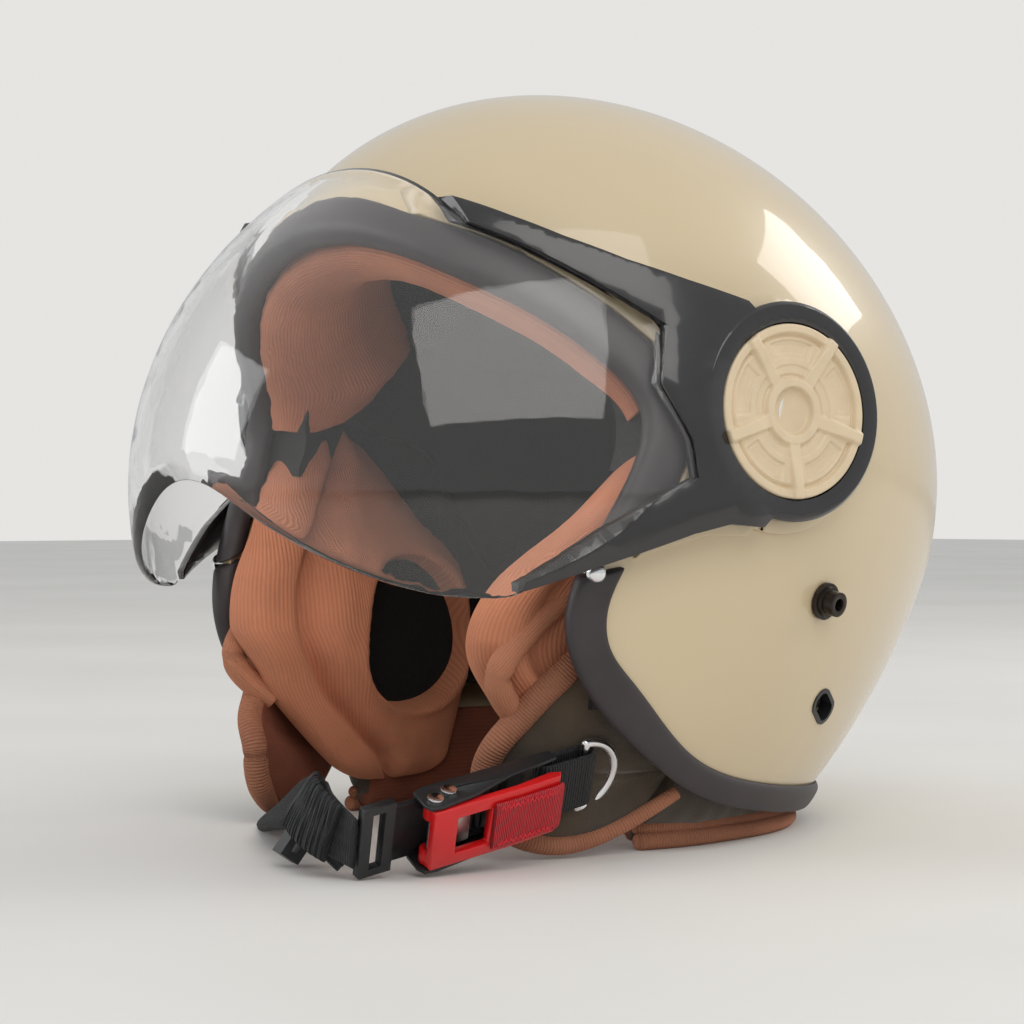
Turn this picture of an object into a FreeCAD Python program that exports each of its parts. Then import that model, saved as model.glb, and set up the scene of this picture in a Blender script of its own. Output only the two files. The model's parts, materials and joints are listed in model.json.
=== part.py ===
"""Open face motorcycle helmet with a flip-up bubble visor, standing on its neck curtain.

Units are millimetres.  +Z is up, +X is the wearer's left, -Y is the front.  The helmet
is modelled as it rests, leaning back a little, with z = 0 on the surface below it.
All pieces are built about the helmet's own mid-plane and moved together at the end, so
that the origin lies on that surface, under the middle of the overall box.
"""
import FreeCAD
import Part
import math
import os
from FreeCAD import Matrix, Placement, Rotation, Vector

os.makedirs("parts", exist_ok=True)

# ---------------------------------------------------------------- shell
HALF_WIDTH = 122.0        # outer half width of the shell
HALF_LENGTH = 145.4       # outer half length, along the tilted widest plane
CROWN_HEIGHT = 120.1      # crown above the widest plane
SKIRT_DEPTH = 202.0       # semi-axis of the slimmer lower half
LEAN_DEG = -31.0          # tilt of the widest plane, rear end down
SHELL_CENTRE = Vector(0, 0.8, 138.6)
SHELL_WALL = 4.0
FOAM_THICKNESS = 19.5
SEAM_GAP = 0.3            # air between neighbouring curved faces

# ---------------------------------------------------------------- edge trim
TRIM_PROUD = 3.0          # rubber standing above the paint
TRIM_INSIDE = 2.6         # rubber behind the shell wall
TRIM_INNER_LEG = 9.0      # height of the rubber inside the shell
TRIM_EDGE = 3.4           # rubber past the shell's cut edge
RIVET_RADIUS = 3.6

# ---------------------------------------------------------------- visor
PIVOT_Y = -28.2
PIVOT_Z = 147.2
KNOB_RADIUS = 29.0
KNOB_GAP = 0.5
KNOB_THICKNESS = 3.8
KNOB_FLOOR = 1.6          # solid floor of the knob under its ribs
KNOB_RIBS = 5
RING_RADIUS = 36.5        # outer radius of the arm's round end
RING_STANDOFF = 4.0       # underside of the round end above the paint, at the pivot
RING_THICKNESS = 4.2
HUB_THICKNESS = 1.5
HUB_LOW = 3.3             # underside of the hub plate above the paint
KNOB_TURN_OUT_DEG = 10.5  # how far the knob's face looks forward
KNOB_TURN_UP_DEG = 3.0
ARM_STANDOFF = 5.9        # arm above the paint
ARM_THICKNESS = 5.2
BASE_THICKNESS = 1.8      # raised plate under the arm
BASE_MARGIN = 3.6         # plate showing round the arm
LENS_THICKNESS = 2.4
LENS_CENTRE = Vector(0, -1.0, 122.5)
LENS_HALF = Vector(130.0, 184.0, 141.0)
LENS_TOP_Y = -117.0       # where the lens ends above the brow
BUSH_RADIUS = 6.0
PIVOT_CLEARANCE = 0.08    # radial, between bush and arm
SCREW_RADIUS = 2.5
SCREW_HEAD_RADIUS = 4.0

# ---------------------------------------------------------------- side fittings
STUD_Y = -2.5
STUD_Z = 84.4
STUD_FLANGE_RADIUS = 6.4
STUD_POST_RADIUS = 4.25
STUD_POST_LENGTH = 5.0
SLOT_Y = 13.9
SLOT_Z = 46.7
SLOT_LENGTH = 14.0
SLOT_WIDTH = 7.0
SLOT_RIM = 1.6
SLOT_TILT_DEG = 68.0

# ---------------------------------------------------------------- padding
CROWN_PAD_THICKNESS = 9.0
BROW_PAD_THICKNESS = 12.0
CHEEK_PLATE_THICKNESS = 2.0
CURTAIN_HALF_WIDTH = 72.0
CURTAIN_WALL = 8.0
CURTAIN_FRONT_Y = -88.0
CURTAIN_REAR_Y = 67.0
CURTAIN_BEND_Y = -10.0
CURTAIN_HEIGHT = 38.0
PIPING_RADIUS = 2.8
ROLL_WIDTH = 8.0
ROLL_HEIGHT = 5.2

# ---------------------------------------------------------------- chin strap
WEBBING_WIDTH = 22.0
WEBBING_THICKNESS = 2.0
BUCKLE_WIDTH = 22.0       # clear width between the buckle's cheeks
BUCKLE_PIVOT = Vector(78.0, -145.0, 14.4)
CHEEK_SHEET = 1.2
PIN_CLEARANCE = 0.06      # radial, for parts that turn on a pin
TAIL_BAR_X = 47.5
BAR_Y = -5.8
PAWL_X = 6.5
PAWL_Y = -2.2
BUCKLE_LENGTH = 44.0
LEVER_LENGTH = 48.0
LEVER_THICKNESS = 3.0
LEVER_PIN_RADIUS = 1.5
LEVER_SIDE_GAP = 0.4
TONGUE_THICKNESS = 2.2
TONGUE_REACH = 32.0       # tongue inside the buckle
TOOTH_PITCH = 3.0
RING_WIRE_RADIUS = 1.6
RING_WIDTH = 24.6
RING_DEPTH = 13.0
RING_BAR_X = 63.5         # D-ring bar, along the buckle from the lever's pin
RING_TILT_DEG = 2.0
TAIL_BAR_RADIUS = 1.6
LOOP_CLEARANCE = 0.3
STRAP_ANCHOR = (-38.0, 97.0)

# Lines seen from the side, as (y, z) points from the brow down to the nape.
# The opening line is the free edge of the rubber, the paint line is where paint begins.
OPENING_FACE = [(-128.0, 206.0), (-121.5, 196.5), (-105.0, 180.3), (-88.0, 163.0), (-78.3, 146.0),
                (-80.0, 135.0), (-92.0, 110.0), (-99.5, 94.0)]
OPENING_LOWER = [(-99.5, 94.0), (-102.0, 81.0), (-99.5, 68.0), (-90.0, 52.5), (-75.0, 39.0),
                 (-44.5, 21.0), (-10.0, 12.5), (27.0, 8.0), (62.0, 6.6), (120.0, 8.0)]
PAINT_FACE = [(-119.6, 220.0), (-117.0, 212.0), (-111.0, 206.5), (-91.0, 188.0), (-71.0, 167.0),
              (-62.0, 148.0), (-65.5, 130.0), (-80.0, 103.0)]
PAINT_LOWER = [(-84.0, 98.0), (-89.0, 84.0), (-87.5, 72.0), (-78.0, 60.0), (-50.5, 35.0),
               (-10.0, 22.0), (31.0, 17.0), (62.0, 15.0), (120.0, 17.0)]
RIVET_PLACE = (-95.5, 95.0)
ARM_OUTLINE = [(-117.0, 217.8), (-107.5, 210.6), (-97.0, 203.6), (-82.0, 196.0), (-65.0, 189.8),
               (-45.0, 183.5), (-29.5, 165.0), (-29.5, 125.0), (-45.0, 109.5), (-58.0, 110.5),
               (-71.0, 107.4), (-101.0, 97.0), (-120.5, 89.6), (-120.8, 92.6), (-98.0, 109.3),
               (-76.0, 122.0), (-69.0, 125.6), (-70.8, 137.7), (-79.0, 155.5), (-74.6, 174.6),
               (-89.0, 185.7), (-107.0, 200.4), (-117.0, 208.4)]
LENS_SEAT = [(-117.0, 212.5), (-105.0, 202.5), (-88.0, 188.5), (-77.0, 179.0), (-73.0, 172.0),
             (-75.5, 155.5), (-67.5, 138.5), (-65.5, 126.0), (-67.5, 121.0), (-75.0, 117.0),
             (-97.0, 104.5), (-118.5, 91.5)]
LENS_LOWER = [(-118.5, 91.5), (-122.0, 88.4), (-131.0, 87.4), (-141.0, 88.4), (-151.0, 91.5),
              (-162.0, 97.2), (-171.0, 104.5), (-178.0, 113.5), (-183.0, 126.0), (-185.5, 136.0)]
FAR = 260.0               # beyond the helmet on every side

PIECES = {}


def keep(name, shape):
    """Keep one piece under its node name."""
    PIECES[name] = shape


def mirrored(shape):
    """The same piece on the other side of the helmet."""
    return shape.mirror(Vector(0, 0, 0), Vector(1, 0, 0))


def keep_pair(name, shape):
    keep(name + "_left", shape)
    keep(name + "_right", mirrored(shape))


def egg(offset):
    """The solid inside the shell's outer face moved out by offset."""
    halves = []
    for low, high, axis in ((0, 90, CROWN_HEIGHT), (-90, 0, SKIRT_DEPTH)):
        half = Part.makeSphere(1.0, Vector(0, 0, 0), Vector(0, 0, 1), low, high, 360)
        half.rotate(Vector(0, 0, 0), Vector(0, 0, 1), 90)
        stretch = Matrix()
        stretch.scale(HALF_WIDTH + offset, HALF_LENGTH + offset, axis + offset)
        halves.append(half.transformGeometry(stretch))
    body = halves[0].fuse(halves[1])
    body = body.removeSplitter()
    body.rotate(Vector(0, 0, 0), Vector(1, 0, 0), LEAN_DEG)
    body.translate(SHELL_CENTRE)
    return body


def shell_x(y, z, offset=0.0):
    """Half width of the shell's outer face, moved out by offset, at one side-view place."""
    lean = math.radians(LEAN_DEG)
    dy = y - SHELL_CENTRE.y
    dz = z - SHELL_CENTRE.z
    along = dy * math.cos(lean) + dz * math.sin(lean)
    up = -dy * math.sin(lean) + dz * math.cos(lean)
    axis = CROWN_HEIGHT if up > 0 else SKIRT_DEPTH
    rest = 1 - (along / (HALF_LENGTH + offset)) ** 2 - (up / (axis + offset)) ** 2
    return (HALF_WIDTH + offset) * math.sqrt(max(rest, 0.0))


def shell_normal(y, z):
    """Outward direction of the shell's left side at one side-view place."""
    step = 0.5
    slope_y = (shell_x(y + step, z) - shell_x(y - step, z)) / (2 * step)
    slope_z = (shell_x(y, z + step) - shell_x(y, z - step)) / (2 * step)
    normal = Vector(1, -slope_y, -slope_z)
    normal.normalize()
    return normal


def side_points(points, x=0.0):
    return [Vector(x, y, z) for y, z in points]


def spline(points):
    """A smooth edge through side-view points, on the far side plane."""
    curve = Part.BSplineCurve()
    curve.interpolate(side_points(points, -FAR))
    return curve.toShape()


def line(start, end):
    return Part.makeLine(Vector(-FAR, start[0], start[1]), Vector(-FAR, end[0], end[1]))


def across(edges):
    """The solid swept right across the helmet from a closed side-view outline."""
    wire = Part.Wire(Part.__sortEdges__(edges))
    return Part.Face(wire).extrude(Vector(2 * FAR, 0, 0))


def across_polygon(points):
    closed = side_points(points + points[:1], -FAR)
    return Part.Face(Part.makePolygon(closed)).extrude(Vector(2 * FAR, 0, 0))


def shifted(points, distance):
    """A side-view line moved sideways by distance, to the left of its direction."""
    moved = []
    for index, (y, z) in enumerate(points):
        before = points[max(index - 1, 0)]
        after = points[min(index + 1, len(points) - 1)]
        dy = after[0] - before[0]
        dz = after[1] - before[1]
        length = math.hypot(dy, dz)
        moved.append((y - dz / length * distance, z + dy / length * distance))
    return moved


def front_space(face_line, lower_line):
    """Everything in front of and below the shell's edge lines."""
    top = (-FAR, face_line[0][1] + 22.0)
    bottom = (-FAR, -FAR)
    rear = (lower_line[-1][0], -FAR)
    edges = [spline(face_line), line(face_line[0], top), line(top, bottom), line(bottom, rear),
             line(rear, lower_line[-1]), spline(lower_line)]
    if face_line[-1] != lower_line[0]:
        edges.append(line(face_line[-1], lower_line[0]))
    return across(edges)


def band(inner, outer):
    """The layer of the helmet between two offsets from the paint."""
    return egg(outer).cut(egg(inner))


def biggest(shape):
    """The largest solid of a cut, as a plain solid."""
    return max(shape.Solids, key=lambda solid: solid.Volume)


def left_piece(shape):
    """The largest solid on the wearer's left."""
    return biggest(Part.makeCompound([solid for solid in shape.Solids if solid.CenterOfMass.x > 0]))


def tube_along(points, radius):
    """A round tube on straight runs joined by tangent arcs."""
    vectors = [Vector(*point) for point in points]
    edges = []
    start = vectors[0]
    for before, corner, after in zip(vectors, vectors[1:], vectors[2:]):
        run_in = (before - corner)
        run_out = (after - corner)
        trim = 0.45 * min(run_in.Length, run_out.Length)
        first = corner + run_in.normalize() * trim
        last = corner + run_out.normalize() * trim
        middle_way = (run_in + run_out).normalize()
        half_angle = run_in.getAngle(run_out) / 2
        bend = trim * math.tan(half_angle)
        centre = corner + middle_way * (trim / math.cos(half_angle))
        middle = centre - middle_way * bend
        edges.append(Part.LineSegment(start, first).toShape())
        edges.append(Part.Arc(first, middle, last).toShape())
        start = last
    edges.append(Part.LineSegment(start, vectors[-1]).toShape())
    path = Part.Wire(edges)
    direction = vectors[1] - vectors[0]
    section = Part.Wire(Part.makeCircle(radius, vectors[0], direction))
    return Part.Solid(path.makePipeShell([section], True, True))


# ================================================================ shell, foam and trim
def opening(inset):
    """The face and neck opening, grown into the shell by inset."""
    return front_space(shifted(OPENING_FACE, inset), shifted(OPENING_LOWER, inset))


def trim_bands():
    """The rubber edge trim: one run round the face, one round the bottom edge."""
    unpainted = front_space(PAINT_FACE, PAINT_LOWER)
    outer_leg = band(0.0, TRIM_PROUD).common(unpainted)
    inner_leg = band(-SHELL_WALL - TRIM_INSIDE, 0.0).common(opening(TRIM_INNER_LEG))
    rubber = outer_leg.fuse(inner_leg).cut(opening(0.0)).cut(outer_shell())
    split_z = RIVET_PLACE[1]
    upper_box = Part.makeBox(2 * FAR, 2 * FAR, FAR, Vector(-FAR, -FAR, split_z))
    return biggest(rubber.common(upper_box)), biggest(rubber.cut(upper_box))


def outer_shell():
    shell = band(-SHELL_WALL, 0.0).cut(opening(TRIM_EDGE))
    for side in (1, -1):
        shell = shell.cut(pivot_bore(side, SCREW_RADIUS + 0.1, 30.0))
        shell = shell.cut(slot_solid(side, SLOT_RIM, 30.0))
        shell = shell.cut(stud_hole(side))
    return biggest(shell)


def pivot_bore(side, radius, length):
    start = Vector(side * (HALF_WIDTH - length / 2), PIVOT_Y, PIVOT_Z)
    return Part.makeCylinder(radius, length, start, Vector(side, 0, 0))


def slot_solid(side, margin, length):
    """An oblong prism through the shell at the side slot."""
    half = (SLOT_LENGTH - SLOT_WIDTH) / 2
    radius = SLOT_WIDTH / 2 + margin
    centre = Vector(shell_x(SLOT_Y, SLOT_Z), SLOT_Y, SLOT_Z)
    normal = shell_normal(SLOT_Y, SLOT_Z)
    block = Part.makeBox(2 * half, 2 * radius, length, Vector(-half, -radius, -length / 2))
    for end in (-half, half):
        block = block.fuse(Part.makeCylinder(radius, length, Vector(end, 0, -length / 2)))
    block = block.removeSplitter()
    block.rotate(Vector(0, 0, 0), Vector(0, 0, 1), SLOT_TILT_DEG)
    block.Placement = Placement(centre, Rotation(Vector(0, 0, 1), normal)).multiply(block.Placement)
    return block if side > 0 else mirrored(block)


def stud_frame():
    return Vector(shell_x(STUD_Y, STUD_Z), STUD_Y, STUD_Z), shell_normal(STUD_Y, STUD_Z)


def stud_hole(side):
    place, normal = stud_frame()
    hole = Part.makeCylinder(2.1, 20, place - normal * 10, normal)
    return hole if side > 0 else mirrored(hole)


def make_shell_group():
    keep("outer_shell", outer_shell())
    face_trim, lower_trim = trim_bands()
    keep("face_trim", face_trim)
    keep("lower_trim", lower_trim)
    foam_outer = -SHELL_WALL - SEAM_GAP
    foam = band(foam_outer - FOAM_THICKNESS, foam_outer).cut(opening(TRIM_INNER_LEG + 1.0))
    cheek_space = [(-FAR, 128.0), (-60.0, 128.0), (-5.0, 106.0), (10.0, 60.0), (10.0, -FAR),
                   (-FAR, -FAR)]
    foam = foam.cut(across_polygon(cheek_space))
    floor_cut = Part.makeBox(2 * FAR, 2 * FAR, FAR, Vector(-FAR, -FAR, 46.0 - FAR))
    keep("foam_liner", biggest(foam.cut(floor_cut)))
    y, z = RIVET_PLACE
    seat = Vector(shell_x(y, z, TRIM_PROUD), y, z)
    normal = shell_normal(y, z)
    dome = Part.makeSphere(RIVET_RADIUS, seat - normal * 1.2)
    shank_foot = seat - normal * (TRIM_PROUD - 0.3)
    shank = Part.makeCylinder(1.2, TRIM_PROUD + 0.7, shank_foot, normal)
    rivet = dome.cut(egg(TRIM_PROUD)).fuse(shank)
    keep_pair("trim_rivet", biggest(rivet))
    for name in ("face_trim", "lower_trim"):
        PIECES[name] = cut_both(PIECES[name], shank)


# ================================================================ visor
def disc_frame():
    """Where the tilted round end of the arm sits: its foot on the paint and its axis."""
    turn_out = math.radians(KNOB_TURN_OUT_DEG)
    turn_up = math.radians(KNOB_TURN_UP_DEG)
    axis = Vector(math.cos(turn_out), -math.sin(turn_out), math.tan(turn_up))
    axis.normalize()
    return Vector(shell_x(PIVOT_Y, PIVOT_Z), PIVOT_Y, PIVOT_Z), axis


def disc(radius, low, high):
    """A round slice of the tilted pivot stack, between two heights above the paint."""
    foot, axis = disc_frame()
    return Part.makeCylinder(radius, high - low, foot + axis * low, axis)


def in_disc_frame(shape):
    """Move a shape modelled about +Z at the origin into the tilted pivot stack."""
    foot, axis = disc_frame()
    moved = shape.copy()
    moved.Placement = Placement(foot, Rotation(Vector(0, 0, 1), axis)).multiply(moved.Placement)
    return moved


def pivot_cylinder(radius, start_x, end_x):
    start = Vector(start_x, PIVOT_Y, PIVOT_Z)
    return Part.makeCylinder(radius, end_x - start_x, start, Vector(1, 0, 0))


def lens_egg(inset):
    half = Part.makeSphere(1.0)
    half.rotate(Vector(0, 0, 0), Vector(0, 0, 1), 90)
    stretch = Matrix()
    stretch.scale(LENS_HALF.x - inset, LENS_HALF.y - inset, LENS_HALF.z - inset)
    body = half.transformGeometry(stretch)
    body.translate(LENS_CENTRE)
    return body


def lens_window():
    """Side-view area of the lens: under the arms at the sides, a long lobe in front."""
    top = (LENS_TOP_Y, 240.0)
    front_top = (-FAR, 240.0)
    front_low = (-FAR, LENS_LOWER[-1][1])
    edges = [spline(LENS_LOWER), line(LENS_LOWER[-1], front_low), line(front_low, front_top),
             line(front_top, top), line(top, LENS_SEAT[0])]
    edges += [line(start, end) for start, end in zip(LENS_SEAT, LENS_SEAT[1:])]
    return across(edges)


def visor_lens():
    sheet = lens_egg(0.0).cut(lens_egg(LENS_THICKNESS))
    return biggest(sheet.common(lens_window()))


def visor_arm(lens):
    """Left arm: a tilted round end with its hub plate, and two branches over the lens."""
    foot = disc_frame()[0]
    blade = band(ARM_STANDOFF, ARM_STANDOFF + ARM_THICKNESS).common(across_polygon(ARM_OUTLINE))
    blade = left_piece(blade).cut(disc(RING_RADIUS - 2.0, -20.0, 40.0))
    ring_top = RING_STANDOFF + RING_THICKNESS
    ring = disc(RING_RADIUS, RING_STANDOFF, ring_top)
    ring = ring.makeChamfer(1.2, [edge for edge in ring.Edges if edge.Closed][:1])
    ring = ring.cut(disc(KNOB_RADIUS + KNOB_GAP, RING_STANDOFF - 1.0, ring_top + 1.0))
    hub = disc(KNOB_RADIUS + KNOB_GAP + 1.0, HUB_LOW, HUB_LOW + HUB_THICKNESS)
    hub = hub.cut(pivot_cylinder(BUSH_RADIUS + PIVOT_CLEARANCE, foot.x - 10, foot.x + 20))
    arm = ring.fuse(hub).fuse(blade).cut(lens)
    return biggest(arm.removeSplitter())


def knob():
    """Left knob: a shallow cup with a rim, radial ribs and a dished centre boss."""
    low = HUB_LOW + HUB_THICKNESS + SEAM_GAP
    rim_top = low + KNOB_THICKNESS
    floor_top = low + KNOB_FLOOR
    inner_radius = KNOB_RADIUS - 3.0
    boss_radius = KNOB_RADIUS * 0.31
    body = Part.makeCylinder(KNOB_RADIUS, KNOB_THICKNESS, Vector(0, 0, low))
    body = body.cut(Part.makeCylinder(inner_radius, KNOB_THICKNESS, Vector(0, 0, floor_top)))
    step = Part.makeCylinder(inner_radius * 0.72, 0.9, Vector(0, 0, floor_top))
    boss = Part.makeCylinder(boss_radius, KNOB_THICKNESS - KNOB_FLOOR, Vector(0, 0, floor_top))
    dish = Part.makeSphere(20.0, Vector(0, 0, rim_top + 20.0 - 1.3))
    body = body.fuse(step).fuse(boss)
    for rib_number in range(KNOB_RIBS):
        rib = Part.makeBox(inner_radius - boss_radius + 2.5, 4.4, KNOB_THICKNESS - KNOB_FLOOR + 0.8,
                           Vector(boss_radius - 0.5, -2.2, floor_top))
        rib.rotate(Vector(0, 0, 0), Vector(0, 0, 1), rib_number * 360.0 / KNOB_RIBS - 90)
        body = body.fuse(rib)
    body = body.cut(dish.common(Part.makeCylinder(boss_radius - 1.2, 30, Vector(0, 0, low))))
    pocket = Part.makeCylinder(BUSH_RADIUS + 1.4, 1.7, Vector(0, 0, low))
    return in_disc_frame(body.removeSplitter().cut(pocket))


def make_visor_group():
    lens = visor_lens()
    keep("visor_lens", lens)
    keep_pair("visor_arm", visor_arm(lens))
    keep_pair("knob", knob())
    foot = disc_frame()[0]
    plate = band(0.0, BASE_THICKNESS)
    outline = across_polygon(shifted(ARM_OUTLINE, BASE_MARGIN))
    outline = outline.fuse(Part.makeCylinder(RING_RADIUS + BASE_MARGIN, 2 * FAR,
                                             Vector(-FAR, PIVOT_Y, PIVOT_Z), Vector(1, 0, 0)))
    plate = plate.common(outline).cut(front_space(PAINT_FACE, PAINT_LOWER))
    plate = left_piece(plate).cut(disc(KNOB_RADIUS, -20.0, 40.0))
    keep_pair("pivot_base", biggest(plate))
    bush_top = foot.x + RING_STANDOFF + 1.0
    bush = pivot_cylinder(BUSH_RADIUS, foot.x - 6.0, bush_top).cut(egg(0.0))
    bush = bush.cut(pivot_cylinder(SCREW_RADIUS + 0.1, foot.x - 8.0, bush_top + 1.0))
    bush = bush.cut(pivot_cylinder(SCREW_HEAD_RADIUS + 0.1, bush_top - 1.6, bush_top + 1.0))
    keep_pair("pivot_bush", biggest(bush))
    nut_top = foot.x - SHELL_WALL - 1.7
    nut = pivot_cylinder(7.0, nut_top - 4.0, nut_top)
    nut = nut.cut(pivot_cylinder(SCREW_RADIUS, nut_top - 5.0, nut_top + 1.0))
    keep_pair("pivot_nut", nut)
    PIECES["foam_liner"] = cut_both(PIECES["foam_liner"], pivot_cylinder(8.0, nut_top - 5.0, 140.0))
    screw = pivot_cylinder(SCREW_RADIUS, nut_top - 4.0, bush_top)
    screw = screw.cut(pivot_cylinder(SCREW_RADIUS + 1.0, bush_top - 1.6, bush_top + 1.0))
    screw = screw.fuse(pivot_cylinder(SCREW_HEAD_RADIUS, bush_top - 1.6, bush_top - 0.2))
    keep_pair("pivot_screw", screw)


def cut_both(shape, tool):
    """Cut a left-hand tool and its mirror copy from a piece that spans the helmet."""
    return biggest(shape.cut(tool).cut(mirrored(tool)))


# ================================================================ side fittings
def make_side_fittings():
    place, normal = stud_frame()
    flange = Part.makeCylinder(STUD_FLANGE_RADIUS, 1.6, place + normal * 0.35, normal)
    post = Part.makeCylinder(STUD_POST_RADIUS, STUD_POST_LENGTH, place + normal * 1.95, normal)
    collar = Part.makeCylinder(STUD_POST_RADIUS + 0.9, 1.4, place + normal * 1.95, normal)
    stem = Part.makeCylinder(2.0, 6.5, place - normal * 5.5, normal)
    socket = Part.makeCylinder(2.2, 3.5, place + normal * (1.95 + STUD_POST_LENGTH - 3.5), normal)
    stud = flange.fuse(collar).fuse(post).fuse(stem).cut(socket)
    keep_pair("snap_stud", stud.removeSplitter())
    washer = Part.makeCylinder(5.0, 1.2, place - normal * (SHELL_WALL + 1.5), normal)
    washer = washer.cut(Part.makeCylinder(2.05, 3.0, place - normal * 7.0, normal))
    keep_pair("stud_washer", washer)
    pocket = Part.makeCylinder(5.6, 8.0, place - normal * 8.0, normal)
    PIECES["foam_liner"] = cut_both(PIECES["foam_liner"], pocket)
    grommet = slot_solid(1, SLOT_RIM - 0.05, 30.0).cut(slot_solid(1, 0.0, 40.0))
    keep_pair("slot_grommet", left_piece(grommet.common(band(-SHELL_WALL, 0.5))))


# ================================================================ padding
def smooth_wire(points):
    curve = Part.BSplineCurve()
    curve.interpolate([Vector(*point) for point in points], True)
    return Part.Wire(curve.toShape())


def cheek_pad():
    """Left cheek pad: lofted through level outlines, thick at the mouth, thin at the temple."""
    levels = [(43.0, 57.0, -104.0, -2.0), (55.0, 54.0, -112.0, 4.0), (75.0, 54.0, -115.0, 6.0),
              (95.0, 58.0, -103.0, 4.0), (115.0, 66.0, -79.0, 0.0), (135.0, 74.0, -58.0, -6.0)]
    wires = []
    for z, inner, front, back in levels:
        outer = 110.0
        wires.append(smooth_wire([
            (inner + 5, front + 4, z), ((inner + outer) / 2, front - 6, z), (outer, front + 8, z),
            (outer + 8, (front + back) / 2, z), (outer, back, z), (inner + 12, back, z),
            (inner + 2, back - 14, z), (inner, (front + back) / 2, z), (inner, front + 14, z)]))
    pad = Part.makeLoft(wires, True, False)
    return pad


def make_padding():
    plate_outer = -SHELL_WALL - TRIM_INSIDE - SEAM_GAP - 0.2
    pad_outer = plate_outer - CHEEK_PLATE_THICKNESS - SEAM_GAP
    pad = biggest(cheek_pad().common(egg(pad_outer)))
    ear = Part.makeCylinder(22.0, 20.0, Vector(50.0, -30.0, 66.0), Vector(1, 0, 0))
    pad = biggest(pad.cut(ear))
    pad = biggest(pad.cut(PIECES["foam_liner"]))
    keep_pair("cheek_pad", pad)
    mesh = Part.makeCylinder(21.5, 1.5, Vector(68.2, -30.0, 66.0), Vector(1, 0, 0))
    keep_pair("ear_mesh", mesh)
    plate = band(plate_outer - CHEEK_PLATE_THICKNESS, plate_outer)
    plate = plate.common(across_polygon([(-84.0, 50.0), (-88.0, 80.0), (-66.0, 118.0),
                                         (-10.0, 104.0), (2.0, 60.0), (2.0, 50.0)]))
    keep_pair("cheek_plate", left_piece(plate))
    liner_outer = -SHELL_WALL - SEAM_GAP - FOAM_THICKNESS - SEAM_GAP
    crown = band(liner_outer - CROWN_PAD_THICKNESS, liner_outer)
    crown = crown.common(across_polygon([(-78.0, 192.0), (-60.0, 300.0), (160.0, 300.0), (160.0, 60.0),
                                         (40.0, 60.0), (16.0, 112.0), (3.0, 137.5), (-58.0, 150.0)]))
    keep("crown_pad", biggest(crown))
    brow = band(liner_outer - BROW_PAD_THICKNESS, liner_outer + 6.0)
    brow = brow.common(across_polygon([(-79.0, 190.0), (-59.0, 150.0), (-64.0, 131.0), (-90.0, 131.0),
                                       (-160.0, 160.0), (-160.0, 212.0), (-95.0, 212.0)]))
    brow = brow.cut(opening(4.0)).cut(PIECES["foam_liner"])
    keep("brow_pad", biggest(brow))


def u_solid(outer, inner, low, high, front_y):
    """A wall of U plan between two outsets from the curtain line, from low to high."""
    def block(outset):
        half = CURTAIN_HALF_WIDTH + outset
        depth = CURTAIN_REAR_Y - CURTAIN_BEND_Y + outset
        nape = Part.makeCylinder(1.0, high - low, Vector(0, 0, low))
        stretch = Matrix()
        stretch.scale(half, depth, 1.0)
        nape = nape.transformGeometry(stretch)
        nape.translate(Vector(0, CURTAIN_BEND_Y, 0))
        rear = Part.makeBox(2 * FAR, FAR, FAR, Vector(-FAR, CURTAIN_BEND_Y, low))
        sides = Part.makeBox(2 * half, CURTAIN_BEND_Y - front_y, high - low,
                             Vector(-half, front_y, low))
        return nape.common(rear).fuse(sides).removeSplitter()
    return biggest(block(outer).cut(block(inner)))


def make_neck_group():
    wall = u_solid(0.0, -CURTAIN_WALL, 0.0, CURTAIN_HEIGHT, CURTAIN_FRONT_Y)
    rear_box = Part.makeBox(2 * FAR, FAR, FAR, Vector(-FAR, 8.0, -1.0))
    side_box = Part.makeBox(FAR, FAR, FAR, Vector(0, 8.0 - FAR, -1.0))
    keep_pair("neck_curtain", biggest(wall.common(side_box)))
    keep("nape_curtain", biggest(wall.common(rear_box)))
    half = CURTAIN_HALF_WIDTH + PIPING_RADIUS
    low = PIPING_RADIUS
    front = CURTAIN_FRONT_Y - PIPING_RADIUS
    inner = half - PIPING_RADIUS - CURTAIN_WALL / 2
    piping = tube_along([(inner, front, CURTAIN_HEIGHT), (inner, front, 20.0),
                         (inner + 2.0, front - 1.0, low + 6.0), (half - 2.5, front + 6.0, low),
                         (half + 0.4, front + 26.0, low), (half + 0.3, -40.0, low),
                         (half + 0.3, -14.0, low)], PIPING_RADIUS)
    keep_pair("curtain_piping", biggest(piping.cut(wall)))
    roll = u_solid(ROLL_WIDTH, SEAM_GAP, 0.0, ROLL_HEIGHT, CURTAIN_FRONT_Y)
    roll = roll.common(Part.makeBox(2 * FAR, FAR, FAR, Vector(-FAR, -6.0, -1.0)))
    keep("nape_roll", biggest(roll))


# ================================================================ chin strap and buckle
def buckle_placement():
    """Frame of the closed buckle: x along it to the rear, y out of the lever, z across it."""
    along = Vector(0.13, 0.95, 0.17)
    along.normalize()
    outward = Vector(0.93, -0.05, -0.42)
    across_way = along.cross(outward)
    across_way.normalize()
    outward = across_way.cross(along)
    turn = Rotation(along, outward, across_way, "XYZ")
    return Placement(BUCKLE_PIVOT, turn)


def in_buckle(shape):
    moved = shape.copy()
    moved.Placement = buckle_placement().multiply(moved.Placement)
    return moved


def level_plate(points, low, high):
    """A flat plate with a buckle-frame x, y outline between two heights across it."""
    corners = [Vector(x, y, low) for x, y in points]
    face = Part.Face(Part.makePolygon(corners + corners[:1]))
    return face.extrude(Vector(0, 0, high - low))


def cross_bore(x, y, radius, half_length):
    return Part.makeCylinder(radius, 2 * half_length, Vector(x, y, -half_length))


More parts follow.
